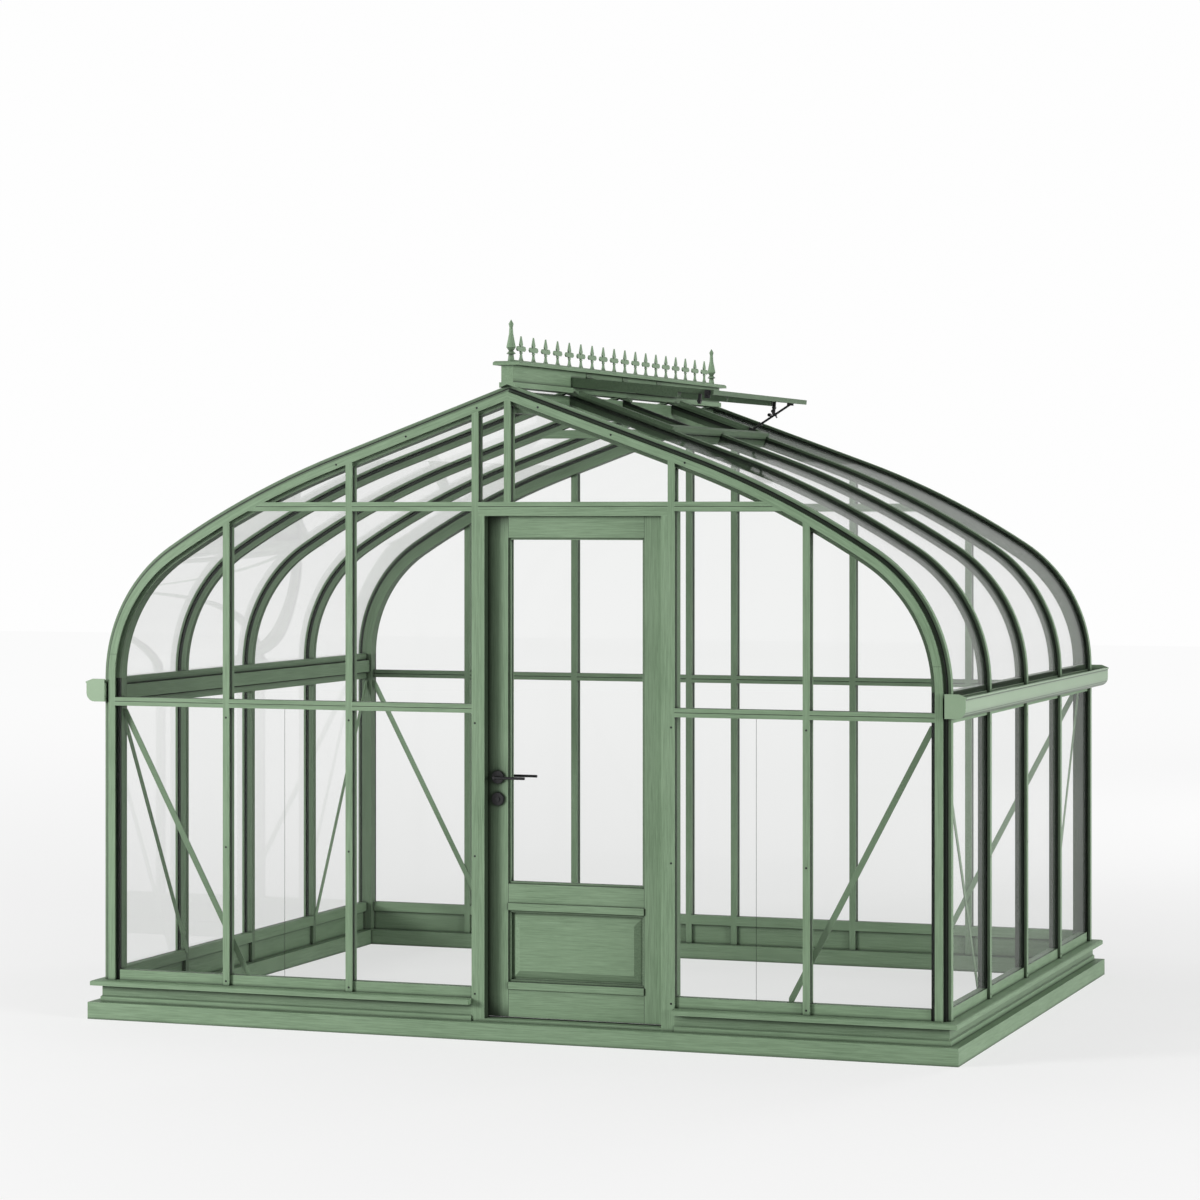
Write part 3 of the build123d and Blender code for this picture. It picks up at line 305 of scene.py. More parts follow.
# Shade on the faces across the bars of the right side, beside their lit outer faces
ACROSS_SHADE = 0.62
ACROSS_FROM = 0.030
# A face counts as turned one way where that part of its normal is past this
TURNED = 0.5


def by_side(tree, x):
    """Stronger shade on the right, which is turned away from the main light."""
    return math_node(tree, "MULTIPLY_ADD", over(tree, x, 0.0), SHADE_RIGHT - SHADE_LEFT, SHADE_LEFT)


def shade_behind(tree, depth, reach, share):
    """Dark next to the glass, fading out further in."""
    return product(tree, map_range(tree, depth, SHADE_FROM, reach, 1.0, 0.0), share,
                   over(tree, depth, SHADE_FROM))


def across_shade(tree, x, end):
    across = below(tree, facing_of(tree)[1], -TURNED)
    return product(tree, across, over(tree, x, 0.0), over(tree, end, ACROSS_FROM), ACROSS_SHADE)


def wall_shade(tree):
    x, y = place_of(tree)[:2]
    in_x, in_y = wall_depths(tree, x, y)
    side = product(tree, shade_behind(tree, in_x, SIDE_SHADE_TO, by_side(tree, x)),
                   over(tree, in_y, SHADE_FROM))
    gable = product(tree, shade_behind(tree, in_y, GABLE_SHADE_TO, SHADE_GABLE),
                    over(tree, in_x, SHADE_FROM))
    across = product(tree, across_shade(tree, x, in_y), below(tree, in_x, SIDE_SHADE_TO))
    return highest(tree, side, gable, across)


def roof_shade(tree):
    depth, end, x = roof_place(tree)[:3]
    shade = product(tree, shade_behind(tree, depth, ROOF_SHADE_TO, by_side(tree, x)),
                    over(tree, end, SHADE_FROM))
    return highest(tree, shade, across_shade(tree, x, end))


# Line along the inner face of the cross rails: its height, its half width and the depths of that face
RAIL_LINE_Z = 1.3135
RAIL_LINE = 0.0016
RAIL_FACE = (0.0490, 0.0510)


def rail_lines(tree):
    y, z = place_of(tree)[1:]
    line = product(tree, inside(tree, minus(tree, HALF_D, size_of(tree, y)), *RAIL_FACE),
                   inside(tree, z, RAIL_LINE_Z - RAIL_LINE, RAIL_LINE_Z + RAIL_LINE))
    return highest(tree, wall_groove(tree), line)


# Shade of the door frame: its faces turned to the right, and the stile that lies beside them
REVEAL_SHADE = 0.88
STILE_SHADE = 0.92
STILE_REACH = 0.095
STILE_SPAN = (0.50, 0.97)
STILE_EDGE_X = -0.012


def reveal_shade(tree):
    return product(tree, over(tree, facing_of(tree)[0], TURNED), REVEAL_SHADE)


def stile_shade(tree):
    """Dark where the frame stands before the lock stile, and gone when the door opens."""
    near = node(tree, "ShaderNodeAmbientOcclusion", Distance=STILE_REACH)
    shut = falling(tree, near.outputs["AO"], STILE_SPAN)
    return product(tree, shut, below(tree, place_of(tree)[0], STILE_EDGE_X), STILE_SHADE)


# Hairline joints of the door, where the rails meet the stiles
DOOR_JOINTS_X = (-0.012, 0.560)
JOINT_LINE = 0.0007


def door_joints(tree):
    x = place_of(tree)[0]
    return highest(tree, *[inside(tree, x, at - JOINT_LINE, at + JOINT_LINE) for at in DOOR_JOINTS_X])


# Dark lines painted along the outer face of a gutter, as the shade of fine steps in its moulding
GUTTER_LINES_Z = (1.3835, 1.3330, 1.3235)
GUTTER_LINE = 0.0010
GUTTER_RUN = 1.354


def gutter_lines(tree):
    y, z = place_of(tree)[1:]
    lines = [inside(tree, z, at - GUTTER_LINE, at + GUTTER_LINE) for at in GUTTER_LINES_Z]
    return product(tree, highest(tree, *lines), below(tree, size_of(tree, y), GUTTER_RUN))


# Faces kept clear of the painted corner shade: those of the bodies against the gable glass, and the step
# on the roof's corner
GLASS_SIDE = (0.0160, 0.0172)
PAST_CAP = 0.045
CORNER_FACE = (0.0180, 0.0275)


def wall_side(tree):
    x, y = place_of(tree)[:2]
    in_x, in_y = wall_depths(tree, x, y)
    return product(tree, inside(tree, in_y, *GLASS_SIDE), over(tree, in_x, PAST_CAP))


def roof_side(tree):
    depth, end = roof_place(tree)[:2]
    beside = highest(tree, over(tree, depth, PAST_CAP), inside(tree, depth, *CORNER_FACE))
    return product(tree, inside(tree, end, *GLASS_SIDE), beside)


# Paint on timber: fibres under a thin coat, soft mottling, and arrises painted slightly lighter, as
# rubbed paint and a painted highlight
PAINT = (0.206, 0.304, 0.190, 1.0)
PAINT_DARK = (0.074, 0.124, 0.066, 1.0)
# Lighter tone of the worn mottling, also used for the painted highlight on the arrises and the gutters'
# painted sheen
PAINT_WORN_AND_SHEEN = (0.292, 0.396, 0.270, 1.0)
# Dark green of the painted shade in corners, on undersides and on the bodies behind the glass
PAINT_SHADE = (0.009, 0.016, 0.008, 1.0)
# Near black of the glazing strips and joints, also used for painted shade lines
STRIP = (0.008, 0.012, 0.008, 1.0)
FINE = {"Scale": 330.0, "Detail": 6.0, "Roughness": 0.66}
BROAD = {"Scale": 120.0, "Detail": 4.0, "Roughness": 0.6}
CLOUD = {"Scale": 3.2, "Detail": 4.0, "Roughness": 0.55}
FINE_SHARE = 0.74
FIBRE_SPAN = (0.34, 0.60)
FIBRE_SHARE = 0.66
FIBRE_ROUGH = 0.22
FIBRE_BUMP = 0.35
FIBRE_RISE = 0.0006
CLOUD_SPAN = (0.35, 0.75)
MOTTLE = 0.22
ROUND_R = 0.0012
PAINT_IOR = 1.45
PAINT_SPECULAR = 0.26
# Arrises painted lighter: rubbed paint and a painted highlight
ARRIS_R = 0.0022
ARRIS_SPAN = (0.86, 0.995)
ARRIS_SHARE = 0.45
# Painted shade in the inner corners of a piece, and where pieces touch, with the rays that look for both
SHADE_RAYS = 8
CORNER_REACH = 0.06
CORNER_SPAN = (0.30, 0.97)
CORNER_SHARE = 0.90
TOUCH_REACH = 0.014
TOUCH_SPAN = (0.38, 0.96)
TOUCH_SHARE = 0.92
# Shade on faces that look down
UNDER_SHADE = 0.62


def edge_tones(tree, colour, corner_shade, spared):
    """Arrises painted lighter, as rubbed paint and a painted highlight, and painted shade in the corners,
    where pieces touch and on the undersides.
    """
    shape = tree.nodes.new("ShaderNodeNewGeometry")
    bevel = node(tree, "ShaderNodeBevel", Radius=ARRIS_R)
    along = tree.nodes.new("ShaderNodeVectorMath")
    along.operation = "DOT_PRODUCT"
    tree.links.new(bevel.outputs[0], along.inputs[0])
    tree.links.new(shape.outputs["Normal"], along.inputs[1])
    turned = falling(tree, along.outputs["Value"], ARRIS_SPAN)
    colour = mix_colour(tree, product(tree, turned, ARRIS_SHARE), colour, PAINT_WORN_AND_SHEEN)

    kept = minus(tree, 1.0, spared(tree)) if spared else 1.0
    corner = node(tree, "ShaderNodeAmbientOcclusion", Distance=CORNER_REACH)
    corner.only_local = True
    corner.samples = SHADE_RAYS
    shut = product(tree, falling(tree, corner.outputs["AO"], CORNER_SPAN), kept)
    colour = mix_colour(tree, product(tree, shut, CORNER_SHARE * corner_shade), colour, PAINT_SHADE)
    contact = node(tree, "ShaderNodeAmbientOcclusion", Distance=TOUCH_REACH)
    contact.samples = SHADE_RAYS
    touch = product(tree, falling(tree, contact.outputs["AO"], TOUCH_SPAN), kept)
    colour = mix_colour(tree, product(tree, touch, TOUCH_SHARE * corner_shade), colour, PAINT_SHADE)
    under = highest(tree, product(tree, facing_of(tree)[2], -UNDER_SHADE), 0.0)
    return mix_colour(tree, under, colour, PAINT_SHADE)


def painted(name, vector_of, fibre=1.0, shine=0.42, groove=None, behind=None, corner_shade=1.0,
            lift=0.22, spared=None):
    mat, tree, out = new_material(name)
    vector = vector_of(tree)
    fine = node(tree, "ShaderNodeTexNoise", Vector=vector, **FINE)
    broad = node(tree, "ShaderNodeTexNoise", Vector=vector, **BROAD)
    cloud = node(tree, "ShaderNodeTexNoise", Vector=plain_vector(tree), **CLOUD)
    fibres = math_node(tree, "ADD", product(tree, fine.outputs[0], FINE_SHARE),
                       product(tree, broad.outputs[0], 1.0 - FINE_SHARE))
    base = mix_colour(tree, rising(tree, fibres, FIBRE_SPAN), PAINT_DARK, PAINT)
    base = mix_colour(tree, 1.0 - FIBRE_SHARE * fibre, base, PAINT)
    spots = rising(tree, cloud.outputs[0], CLOUD_SPAN)
    wear_and_sheen = math_node(tree, "MULTIPLY_ADD", spots, MOTTLE, lift - MOTTLE)
    colour = edge_tones(tree, mix_colour(tree, wear_and_sheen, base, PAINT_WORN_AND_SHEEN), corner_shade, spared)
    # Painted shade laid over the paint where the material asks for it
    if behind:
        colour = mix_colour(tree, behind(tree), colour, PAINT_SHADE)
    if groove:
        colour = mix_colour(tree, groove(tree), colour, STRIP)
    rough = math_node(tree, "MULTIPLY_ADD", fibres, FIBRE_ROUGH, shine)
    rounded = node(tree, "ShaderNodeBevel", Radius=ROUND_R)
    bump = node(tree, "ShaderNodeBump", Strength=FIBRE_BUMP * fibre, Distance=FIBRE_RISE,
                Height=fibres, Normal=rounded.outputs[0])
    skin = node(tree, "ShaderNodeBsdfPrincipled", Base_Color=colour, Roughness=rough,
                Normal=bump.outputs[0], IOR=PAINT_IOR, Specular_IOR_Level=PAINT_SPECULAR)
    tree.links.new(skin.outputs[0], out.inputs["Surface"])
    return mat


# Sheet glass: clear straight through, with a mirror skin that grows towards the edge of view
GLASS_TINT = (0.972, 0.974, 0.972, 1.0)
# Share of the light that each face of a pane lets in
GLASS_SHADE = (0.86, 0.87, 0.86, 1.0)
GLASS_WAVE = {"Scale": 1.7, "Detail": 2.0}
WAVE_BUMP = 0.02
WAVE_RISE = 0.002
MIRROR_TONE = 0.9
MIRROR_ROUGH = 0.02
GLASS_IOR = 1.5


def glass_material(name, shine):
    mat, tree, out = new_material(name)
    wave = node(tree, "ShaderNodeTexNoise", Vector=plain_vector(tree), **GLASS_WAVE)
    bump = node(tree, "ShaderNodeBump", Strength=WAVE_BUMP, Distance=WAVE_RISE, Height=wave.outputs[0])
    path = tree.nodes.new("ShaderNodeLightPath")
    lighting = highest(tree, path.outputs["Is Shadow Ray"], path.outputs["Is Diffuse Ray"])
    clear = node(tree, "ShaderNodeBsdfTransparent",
                 Color=mix_colour(tree, lighting, GLASS_TINT, GLASS_SHADE))
    mirror = node(tree, "ShaderNodeBsdfGlossy", Color=grey(MIRROR_TONE), Roughness=MIRROR_ROUGH,
                  Normal=bump.outputs[0])
    rim = node(tree, "ShaderNodeFresnel", IOR=GLASS_IOR, Normal=bump.outputs[0])
    both = tree.nodes.new("ShaderNodeMixShader")
    tree.links.new(product(tree, rim.outputs[0], shine), both.inputs[0])
    tree.links.new(clear.outputs[0], both.inputs[1])
    tree.links.new(mirror.outputs[0], both.inputs[2])
    tree.links.new(both.outputs[0], out.inputs["Surface"])
    return mat


# Black metal, satin with fine pits
BLACK_LOW = (0.005, 0.005, 0.006, 1.0)
BLACK_HIGH = (0.016, 0.016, 0.017, 1.0)
PITS = {"Scale": 900.0, "Detail": 2.0}
PIT_SPAN = (0.35, 0.7)
PIT_ROUGH = 0.2
BLACK_ROUGH = 0.26
PIT_BUMP = 0.15
PIT_RISE = 0.0002
BLACK_SPECULAR = 0.30


def black_metal(name):
    mat, tree, out = new_material(name)
    pits = node(tree, "ShaderNodeTexNoise", Vector=plain_vector(tree), **PITS)
    tone = ramp(tree, pits.outputs[0], BLACK_LOW, BLACK_HIGH, *PIT_SPAN)
    rough = math_node(tree, "MULTIPLY_ADD", pits.outputs[0], PIT_ROUGH, BLACK_ROUGH)
    bump = node(tree, "ShaderNodeBump", Strength=PIT_BUMP, Distance=PIT_RISE, Height=pits.outputs[0])
    skin = node(tree, "ShaderNodeBsdfPrincipled", Base_Color=tone, Roughness=rough,
                Normal=bump.outputs[0], Specular_IOR_Level=BLACK_SPECULAR)
    tree.links.new(skin.outputs[0], out.inputs["Surface"])
    return mat


# Values of the single materials
METAL_FIBRE = 0.25
METAL_SHINE = 0.30
GUTTER_SHINE = 0.24
GUTTER_LIFT = 0.75
BRACE_SHINE = 0.34
BRACE_CORNER_SHADE = 0.15
VENT_LIFT = 0.05
VENT_SHADE = 0.40
PANE_SHINE = 0.12
CURVED_SHINE = 0.27

timber_x = painted("timber_along_x", grain_x)
timber_y = painted("timber_along_y", grain_y)
timber_frame = painted("timber_of_door_frame", frame_grain, behind=reveal_shade)
timber_curve = painted("timber_along_curve", curved_grain, groove=roof_groove, behind=roof_shade,
                       spared=roof_side)
# The vent's timber is a shaded copy: painted shade over it and less of the lighter tone
timber_vent = painted("vent_timber_along_y", grain_y, lift=VENT_LIFT, behind=lambda tree: VENT_SHADE)
glazed_x = painted("glazed_timber_along_x", grain_x, groove=rail_lines, behind=wall_shade)
glazed_z = painted("glazed_timber_along_z", grain_z, groove=wall_groove, behind=wall_shade,
                   spared=wall_side)
timber_door_x = painted("door_timber_along_x", grain_x, groove=door_joints)
timber_door_z = painted("door_timber_along_z", grain_z, groove=door_joints, behind=stile_shade)
paint_metal = painted("painted_metal", plain_vector, fibre=METAL_FIBRE, shine=METAL_SHINE)
# The gutters' paint is lifted towards the lighter tone as a painted sheen
paint_gutter = painted("painted_gutter", plain_vector, fibre=METAL_FIBRE, shine=GUTTER_SHINE,
                       lift=GUTTER_LIFT, groove=gutter_lines)
paint_brace = painted("painted_brace", plain_vector, fibre=METAL_FIBRE, shine=BRACE_SHINE,
                      corner_shade=BRACE_CORNER_SHADE)
clear_glass = glass_material("clear_glass", PANE_SHINE)
curved_glass = glass_material("clear_curved_glass", CURVED_SHINE)
iron = black_metal("black_metal")


def ending(*ends):
    return [name for name in nodes if name.endswith(ends)]


DRESS = (
    (timber_x, ["plinth_ends", "front_sill", "back_sill", "front_base", "back_base",
                "door_threshold", "door_panel", "collar_tie"]),
    (timber_y, ["plinth_sides", "side_sills", "side_base", "eaves_plates", "ridge_board", "ridge_box",
                "ridge_cap"]),
    (timber_vent, ["vent_trimmers", "vent_curb", "vent_sash"]),
    (timber_frame, ["door_frame"]),
    (timber_curve, ending("_rafter", "_roof_ribs")),
    (glazed_x, ["front_rails", "back_rails"]),
    (glazed_z, ["corner_posts", "side_wall_bars", "front_wall_bars", "back_wall_bars", "door_posts",
                "king_post"]),
    (timber_door_x, ["door_rails"]),
    (timber_door_z, ["door_stiles"]),
    (paint_gutter, ["left_gutter", "right_gutter"]),
    (paint_brace, ["corner_braces"]),
    (paint_metal, ["ridge_cresting", "ridge_finials"]),
    (iron, ["lock_furniture", "door_lever", "door_hinge_pins", "door_hinge_leaves", "vent_stays"]),
    (clear_glass, ending("glass")),
    (curved_glass, ["roof_curved_glass"]),
)
for mat, names in DRESS:
    for name in names:
        coat = nodes[name].data.materials
        coat.clear()
        coat.append(mat)


# Small pieces: each is built as a mesh and rides on the body that carries it
def add_mesh(name, builder, body, mat):
    mesh = bpy.data.meshes.new(name)
    builder.to_mesh(mesh)
    builder.free()
    mesh.materials.append(mat)
    piece = bpy.data.objects.new(name, mesh)
    bpy.context.collection.objects.link(piece)
    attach(piece, body)
    return piece


def sleeve(builder, rings):
    """Faces between neighbouring rings, and a cap on the last one."""
    for low, high in zip(rings, rings[1:]):
        count = len(low)
        for k in range(count):
            builder.faces.new((low[k], low[(k + 1) % count], high[(k + 1) % count], high[k]))
    builder.faces.new(rings[-1])


# Screw heads: radius, rise, and the share of each for the rings of the dome
SCREW_R = 0.0042
SCREW_RISE = 0.0012
SCREW_SIDES = 14
SCREW_RINGS = ((1.0, -0.3), (0.96, 0.45), (0.74, 0.85), (0.40, 1.0))
SLOT_HALF = 0.18
SLOT_WITHIN = 0.9


def screw_head(builder, at, normal, turn):
    """A low domed head with a straight slot, set on a face."""
    frame_of = Vector(normal).to_track_quat("Z", "Y").to_matrix().to_4x4()
    place = Matrix.Translation(at) @ frame_of @ Matrix.Rotation(turn, 4, "Z")
    rings = []
    for share, rise in SCREW_RINGS:
        ring = []
        for k in range(SCREW_SIDES):
            a = 2 * math.pi * k / SCREW_SIDES
            x, y = share * SCREW_R * math.cos(a), share * SCREW_R * math.sin(a)
            slotted = abs(y) < SLOT_HALF * SCREW_R and share < SLOT_WITHIN
            ring.append(builder.verts.new(place @ Vector((x, y, 0.0 if slotted else SCREW_RISE * rise))))
        rings.append(ring)
    sleeve(builder, rings)


EDGE_STEPS = 2
EDGE_PROFILE = 0.6


def soft_block(builder, low, high, edge):
    """A block with eased edges."""
    made = bmesh.ops.create_cube(builder, size=1.0)
    size = [h - l for l, h in zip(low, high)]
    mid = [(l + h) / 2 for l, h in zip(low, high)]
    for vert in made["verts"]:
        vert.co = Vector([c * w + m for c, w, m in zip(vert.co, size, mid)])
    sides = {e for v in made["verts"] for e in v.link_edges}
    bmesh.ops.bevel(builder, geom=list(sides), offset=edge, segments=EDGE_STEPS, affect="EDGES",
                    profile=EDGE_PROFILE)


ROD_SIDES = 12
ROD_TIP = 0.55
ROD_DOME = 0.0006


def rod(builder, start, end, radius, sides=ROD_SIDES):
    """A straight round bar with domed ends."""
    run = Vector(end) - Vector(start)
    place = Matrix.Translation(start) @ run.to_track_quat("Z", "Y").to_matrix().to_4x4()
    long = run.length
    rings = []
    for share, z in ((ROD_TIP, -ROD_DOME), (1.0, 0.0), (1.0, long), (ROD_TIP, long + ROD_DOME)):
        ring = []
        for k in range(sides):
            a = 2 * math.pi * k / sides
            ring.append(builder.verts.new(place @ Vector((share * radius * math.cos(a),
                                                          share * radius * math.sin(a), z))))
        rings.append(ring)
    sleeve(builder, rings)
    builder.faces.new(list(reversed(rings[0])))


# Screws through the cappings: on the wall bars and on the gable rafters
CAP_LOW = 0.166
SCREW_RISES = (0.012, 0.56, 1.09)
FRONT_X = (-1.234, -0.686, -0.138, 0.686, 1.234)
BACK_X = (-1.234, -0.686, -0.111, 0.111, 0.686, 1.234)
SIDE_Y = (-0.663, 0.0, 0.663)
WALL_TURN = 0.8
RAFTER_X = (0.130, 0.436, 0.742)
RAFTER_DROP = 0.0425
RAFTER_TURN_START = 0.3
RAFTER_TURN = 0.9


def wall_screws():
    builder = bmesh.new()
    feet = [((x, side * HALF_D), (0, side, 0)) for side, xs in ((-1, FRONT_X), (1, BACK_X)) for x in xs]
    feet += [((side * HALF_W, y), (side, 0, 0)) for side in (-1, 1) for y in SIDE_Y]
    turn = 0.0
    for at, normal in feet:
        for rise in SCREW_RISES:
            turn += WALL_TURN
            screw_head(builder, (*at, CAP_LOW + rise), normal, turn)
    return builder


def rafter_screws():
    builder = bmesh.new()
    turn = RAFTER_TURN_START
    for side in (-1, 1):
        for x in RAFTER_X:
            for hand in (-1, 1):
                turn += RAFTER_TURN
                z = APEX_Z - x * math.tan(PITCH) - RAFTER_DROP / math.cos(PITCH)
                screw_head(builder, (hand * x, side * HALF_D, z), (0, side, 0), turn)
    return builder


add_mesh("wall_bar_screws", wall_screws(), "frame", iron)
add_mesh("rafter_screws", rafter_screws(), "frame", iron)

# Strips where two sheets of gable glass meet
JOINTS_X = (-0.975, 1.030)
JOINT_Z = (0.2035, 1.308)
JOINT_W = 0.0016
JOINT_T = 0.0006
JOINT_EDGE = 0.0002
GLASS_FACE = 0.0122


def glass_joints():
    builder = bmesh.new()
    face = GLASS_FACE - HALF_D
    for x in JOINTS_X:
        soft_block(builder, (x - JOINT_W / 2, face - JOINT_T, JOINT_Z[0]),
                   (x + JOINT_W / 2, face, JOINT_Z[1]), JOINT_EDGE)
    return builder


# Vent: fall of its sash, where its upper face meets the ridge box, and half its length
VENT_FALL = math.radians(5.5)
VENT_TOP_Z = 2.65597
BOX_HALF = 0.025
SASH_HALF = 0.677


def on_sash(s, y, t):
    """A point s down the sash from the ridge box, at y, t below its upper face."""
    return Vector((BOX_HALF + s * math.cos(VENT_FALL) - t * math.sin(VENT_FALL), y,
                   VENT_TOP_Z - s * math.sin(VENT_FALL) - t * math.cos(VENT_FALL)))


def sash_block(builder, s0, s1, y0, y1, t0, t1, edge):
    """An eased block laid in the plane of the sash."""
    before = set(builder.verts)
    soft_block(builder, (s0, y0, -t1), (s1, y1, -t0), edge)
    place = Matrix.Translation((BOX_HALF, 0.0, VENT_TOP_Z)) @ Matrix.Rotation(VENT_FALL, 4, "Y")
    for vert in set(builder.verts) - before:
        vert.co = place @ vert.co


# Hinges of the vent: a leaf on the sash, a knuckle, and a leaf on the ridge box
HINGES_Y = (-0.46, 0.0, 0.46)
HINGE_HALF = 0.035
HINGE_LEAF = (0.002, 0.046)
HINGE_T = 0.0025
HINGE_EDGE = 0.0006
KNUCKLE_R = 0.0042
KNUCKLE_OUT = 0.004
KNUCKLE_UP = 0.0045
BOX_LEAF = (0.004, 0.021)


def vent_hinges():
    builder = bmesh.new()
    for y in HINGES_Y:
        y0, y1 = y - HINGE_HALF, y + HINGE_HALF
        sash_block(builder, *HINGE_LEAF, y0, y1, -HINGE_T, 0.0, HINGE_EDGE)
        x, z = BOX_HALF + KNUCKLE_OUT, VENT_TOP_Z + KNUCKLE_UP
        rod(builder, (x, y0, z), (x, y1, z), KNUCKLE_R)
        soft_block(builder, (BOX_HALF, y0, VENT_TOP_Z + BOX_LEAF[0]),
                   (BOX_HALF + HINGE_T, y1, VENT_TOP_Z + BOX_LEAF[1]), HINGE_EDGE)
    return builder


# Brackets at the near outer corner of the sash and under its far end: spans down it, across it and
# below its upper face
BRACKET_EDGE = 0.0012
BRACKETS = (
    (0.588, 0.612, -SASH_HALF - 0.005, -SASH_HALF, 0.002, 0.036),
    (0.560, 0.572, -SASH_HALF, -SASH_HALF + 0.012, 0.020, 0.062),
    (0.474, 0.486, SASH_HALF - 0.016, SASH_HALF - 0.004, 0.020, 0.078),
)
# Knobs on them: start in the same measures, length along y, and radius
KNOBS = (
    ((0.600, -SASH_HALF - 0.005, 0.016), -0.010, 0.0095),
    ((0.566, -SASH_HALF - 0.004, 0.050), 0.020, 0.0075),
    ((0.480, SASH_HALF - 0.020, 0.046), 0.020, 0.0078),
    ((0.477, SASH_HALF - 0.020, 0.062), 0.020, 0.0078),
    ((0.462, SASH_HALF - 0.020, 0.080), 0.020, 0.0078),
)


def vent_fittings():
    builder = bmesh.new()
    for spans in BRACKETS:
        sash_block(builder, *spans, BRACKET_EDGE)
    for at, length, radius in KNOBS:
        start = on_sash(*at)
        rod(builder, start, start + Vector((0.0, length, 0.0)), radius)
    return builder


# Wing bolts that lock the sliding stay: share of the stay's length, and reach of the wings
STAY_FOOT = Vector((0.40249, 0.644, 2.46549))
STAY_HEAD = Vector((0.58042, 0.644, 2.57738))
WINGS = ((0.22, 0.012), (0.60, 0.019))
WING_BOLT = Vector((0.0, 0.009, 0.0))
WING_BOLT_R = 0.0072
WING_SHARE = 0.9
WING_R = 0.0032
WING_SIDES = 8


def stay_wings():
    builder = bmesh.new()
    run = STAY_HEAD - STAY_FOOT
    for share, out in WINGS:
        middle = STAY_FOOT + run * share
        rod(builder, middle - WING_BOLT, middle + WING_BOLT, WING_BOLT_R)
        wing = run.normalized().cross(Vector((0, 1, 0))) * out * WING_SHARE
        rod(builder, middle - wing, middle + wing, WING_R, WING_SIDES)
    return builder


add_mesh("vent_hinges", vent_hinges(), "frame", paint_metal)
add_mesh("vent_side_fittings", vent_fittings(), "frame", iron)
add_mesh("stay_wing_bolts", stay_wings(), "frame", iron)
add_mesh("gable_glass_joints", glass_joints(), "frame", iron)

# Floor: its size, the distances between which it brightens, its own glow there and its bounce
FLOOR_SIDE = 80.0
FLOOR_TONE = 0.86
FLOOR_NEAR = 2.2
FLOOR_FAR = 26.0
FLOOR_GLOW = 0.55
GLOW_NEAR = 1.14
GLOW_FAR = 0.965
FLOOR_BOUNCE = 0.32


def make_floor():
    """A pale floor that brightens with distance until it meets the white backdrop."""
    mesh = bpy.data.meshes.new("floor")
    half = FLOOR_SIDE / 2
    mesh.from_pydata([(-half, -half, 0), (half, -half, 0), (half, half, 0), (-half, half, 0)], [],
                     [(0, 1, 2, 3)])
    floor = bpy.data.objects.new("floor", mesh)
    bpy.context.collection.objects.link(floor)
    mat, tree, out = new_material("floor")
    length = tree.nodes.new("ShaderNodeVectorMath")
    length.operation = "LENGTH"
    tree.links.new(plain_vector(tree), length.inputs[0])
    spread = math_node(tree, "LOGARITHM", length.outputs["Value"], math.e)

    def fade(near, far):
        return map_range(tree, spread, math.log(FLOOR_NEAR), math.log(FLOOR_FAR), near, far, smooth=True)

    path = tree.nodes.new("ShaderNodeLightPath")
    seen = minus(tree, 1.0, product(tree, path.outputs["Is Diffuse Ray"], 1.0 - FLOOR_BOUNCE))
    skin = node(tree, "ShaderNodeBsdfDiffuse", Color=grey(FLOOR_TONE))
    glow = node(tree, "ShaderNodeEmission", Color=grey(1.0),
                Strength=product(tree, fade(GLOW_NEAR, GLOW_FAR), seen))
    both = tree.nodes.new("ShaderNodeMixShader")
    tree.links.new(fade(FLOOR_GLOW, 1.0), both.inputs[0])
    tree.links.new(skin.outputs[0], both.inputs[1])
    tree.links.new(glow.outputs[0], both.inputs[2])
    tree.links.new(both.outputs[0], out.inputs["Surface"])
    floor.data.materials.append(mat)
    return floor


# World: light from the horizon and from straight above, and how bright it is mirrored and seen
SKY = 0.32
ZENITH = 0.10
MIRROR_SKY = 0.80
BACKDROP = 0.99


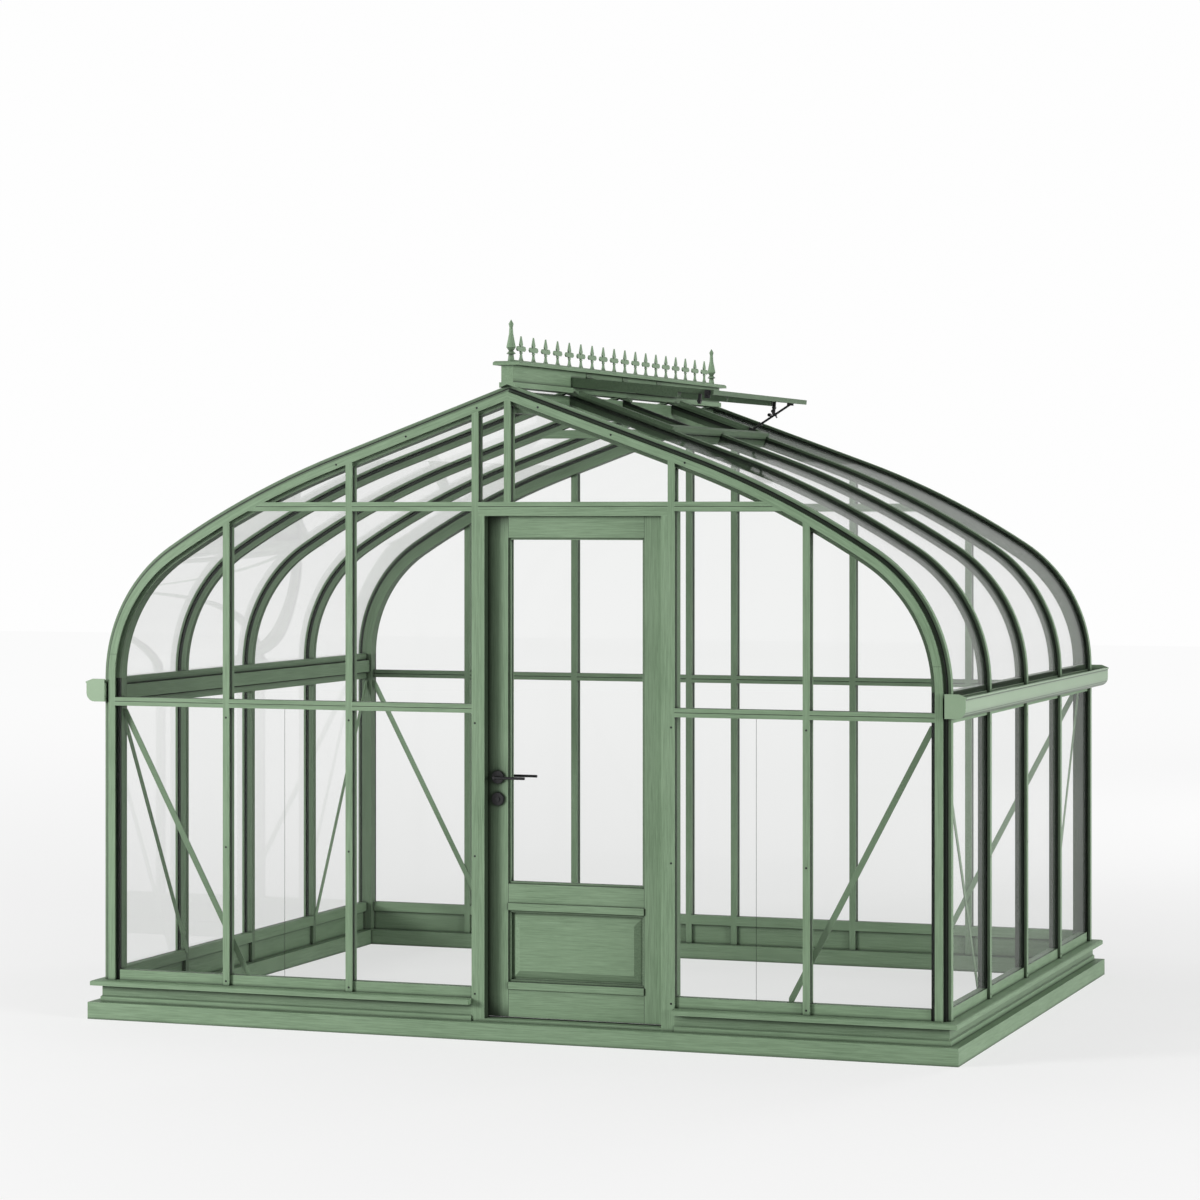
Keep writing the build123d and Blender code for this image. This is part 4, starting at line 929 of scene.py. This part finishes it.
def make_world():
    """White where it is seen, dimmer as a light."""
    world = bpy.data.worlds.new("studio")
    world.use_nodes = True
    tree = world.node_tree
    back = tree.nodes["Background"]
    back.inputs[0].default_value = grey(1.0)
    path = tree.nodes.new("ShaderNodeLightPath")
    clear = highest(tree, path.outputs["Is Camera Ray"], path.outputs["Is Transmission Ray"])
    coords = node(tree, "ShaderNodeTexCoord")
    parts = node(tree, "ShaderNodeSeparateXYZ", Vector=coords.outputs["Generated"])
    rise = highest(tree, parts.outputs[2], 0.0)
    dim = math_node(tree, "MULTIPLY_ADD", rise, ZENITH - SKY, SKY)
    mirror = product(tree, path.outputs["Is Glossy Ray"], MIRROR_SKY)
    tree.links.new(highest(tree, product(tree, clear, BACKDROP), dim, mirror), back.inputs[1])
    bpy.context.scene.world = world


# Lamps: name, place, aim, power in watts, and whether reflections show it
LAMP_SIZE = 4.0
AIM = (0.0, 0.0, 1.2)
LAMPS = (
    ("front_left", (-10.0, -9.5, 3.2), AIM, 1660.0, True),
    ("right_side", (12.0, -4.0, 2.5), AIM, 1000.0, True),
    ("top", (-3.0, 1.0, 9.0), (0.0, 0.0, 0.0), 90.0, True),
    ("behind", (5.0, 12.0, 4.0), AIM, 420.0, False),
)


def soft_light(name, at, aim, power, mirrored):
    data = bpy.data.lights.new(name, "AREA")
    data.shape = "DISK"
    data.size = LAMP_SIZE
    data.energy = power
    lamp = bpy.data.objects.new(name, data)
    lamp.location = at
    lamp.rotation_euler = (Vector(aim) - Vector(at)).to_track_quat("-Z", "Y").to_euler()
    lamp.visible_glossy = mirrored
    bpy.context.collection.objects.link(lamp)


make_floor()
make_world()
for lamp_values in LAMPS:
    soft_light(*lamp_values)

camera_data = bpy.data.cameras.new("camera")
camera_data.sensor_width = SENSOR
camera_data.lens = FOCAL_PX / PHOTO_SIDE * SENSOR
camera_data.shift_y = (HORIZON_PX - PHOTO_SIDE / 2) / PHOTO_SIDE
camera = bpy.data.objects.new("camera", camera_data)
camera.location = CAMERA_AT
camera.rotation_euler = (math.pi / 2, 0.0, CAMERA_YAW)
bpy.context.collection.objects.link(camera)
bpy.context.scene.camera = camera
bpy.context.scene.view_settings.view_transform = "Standard"
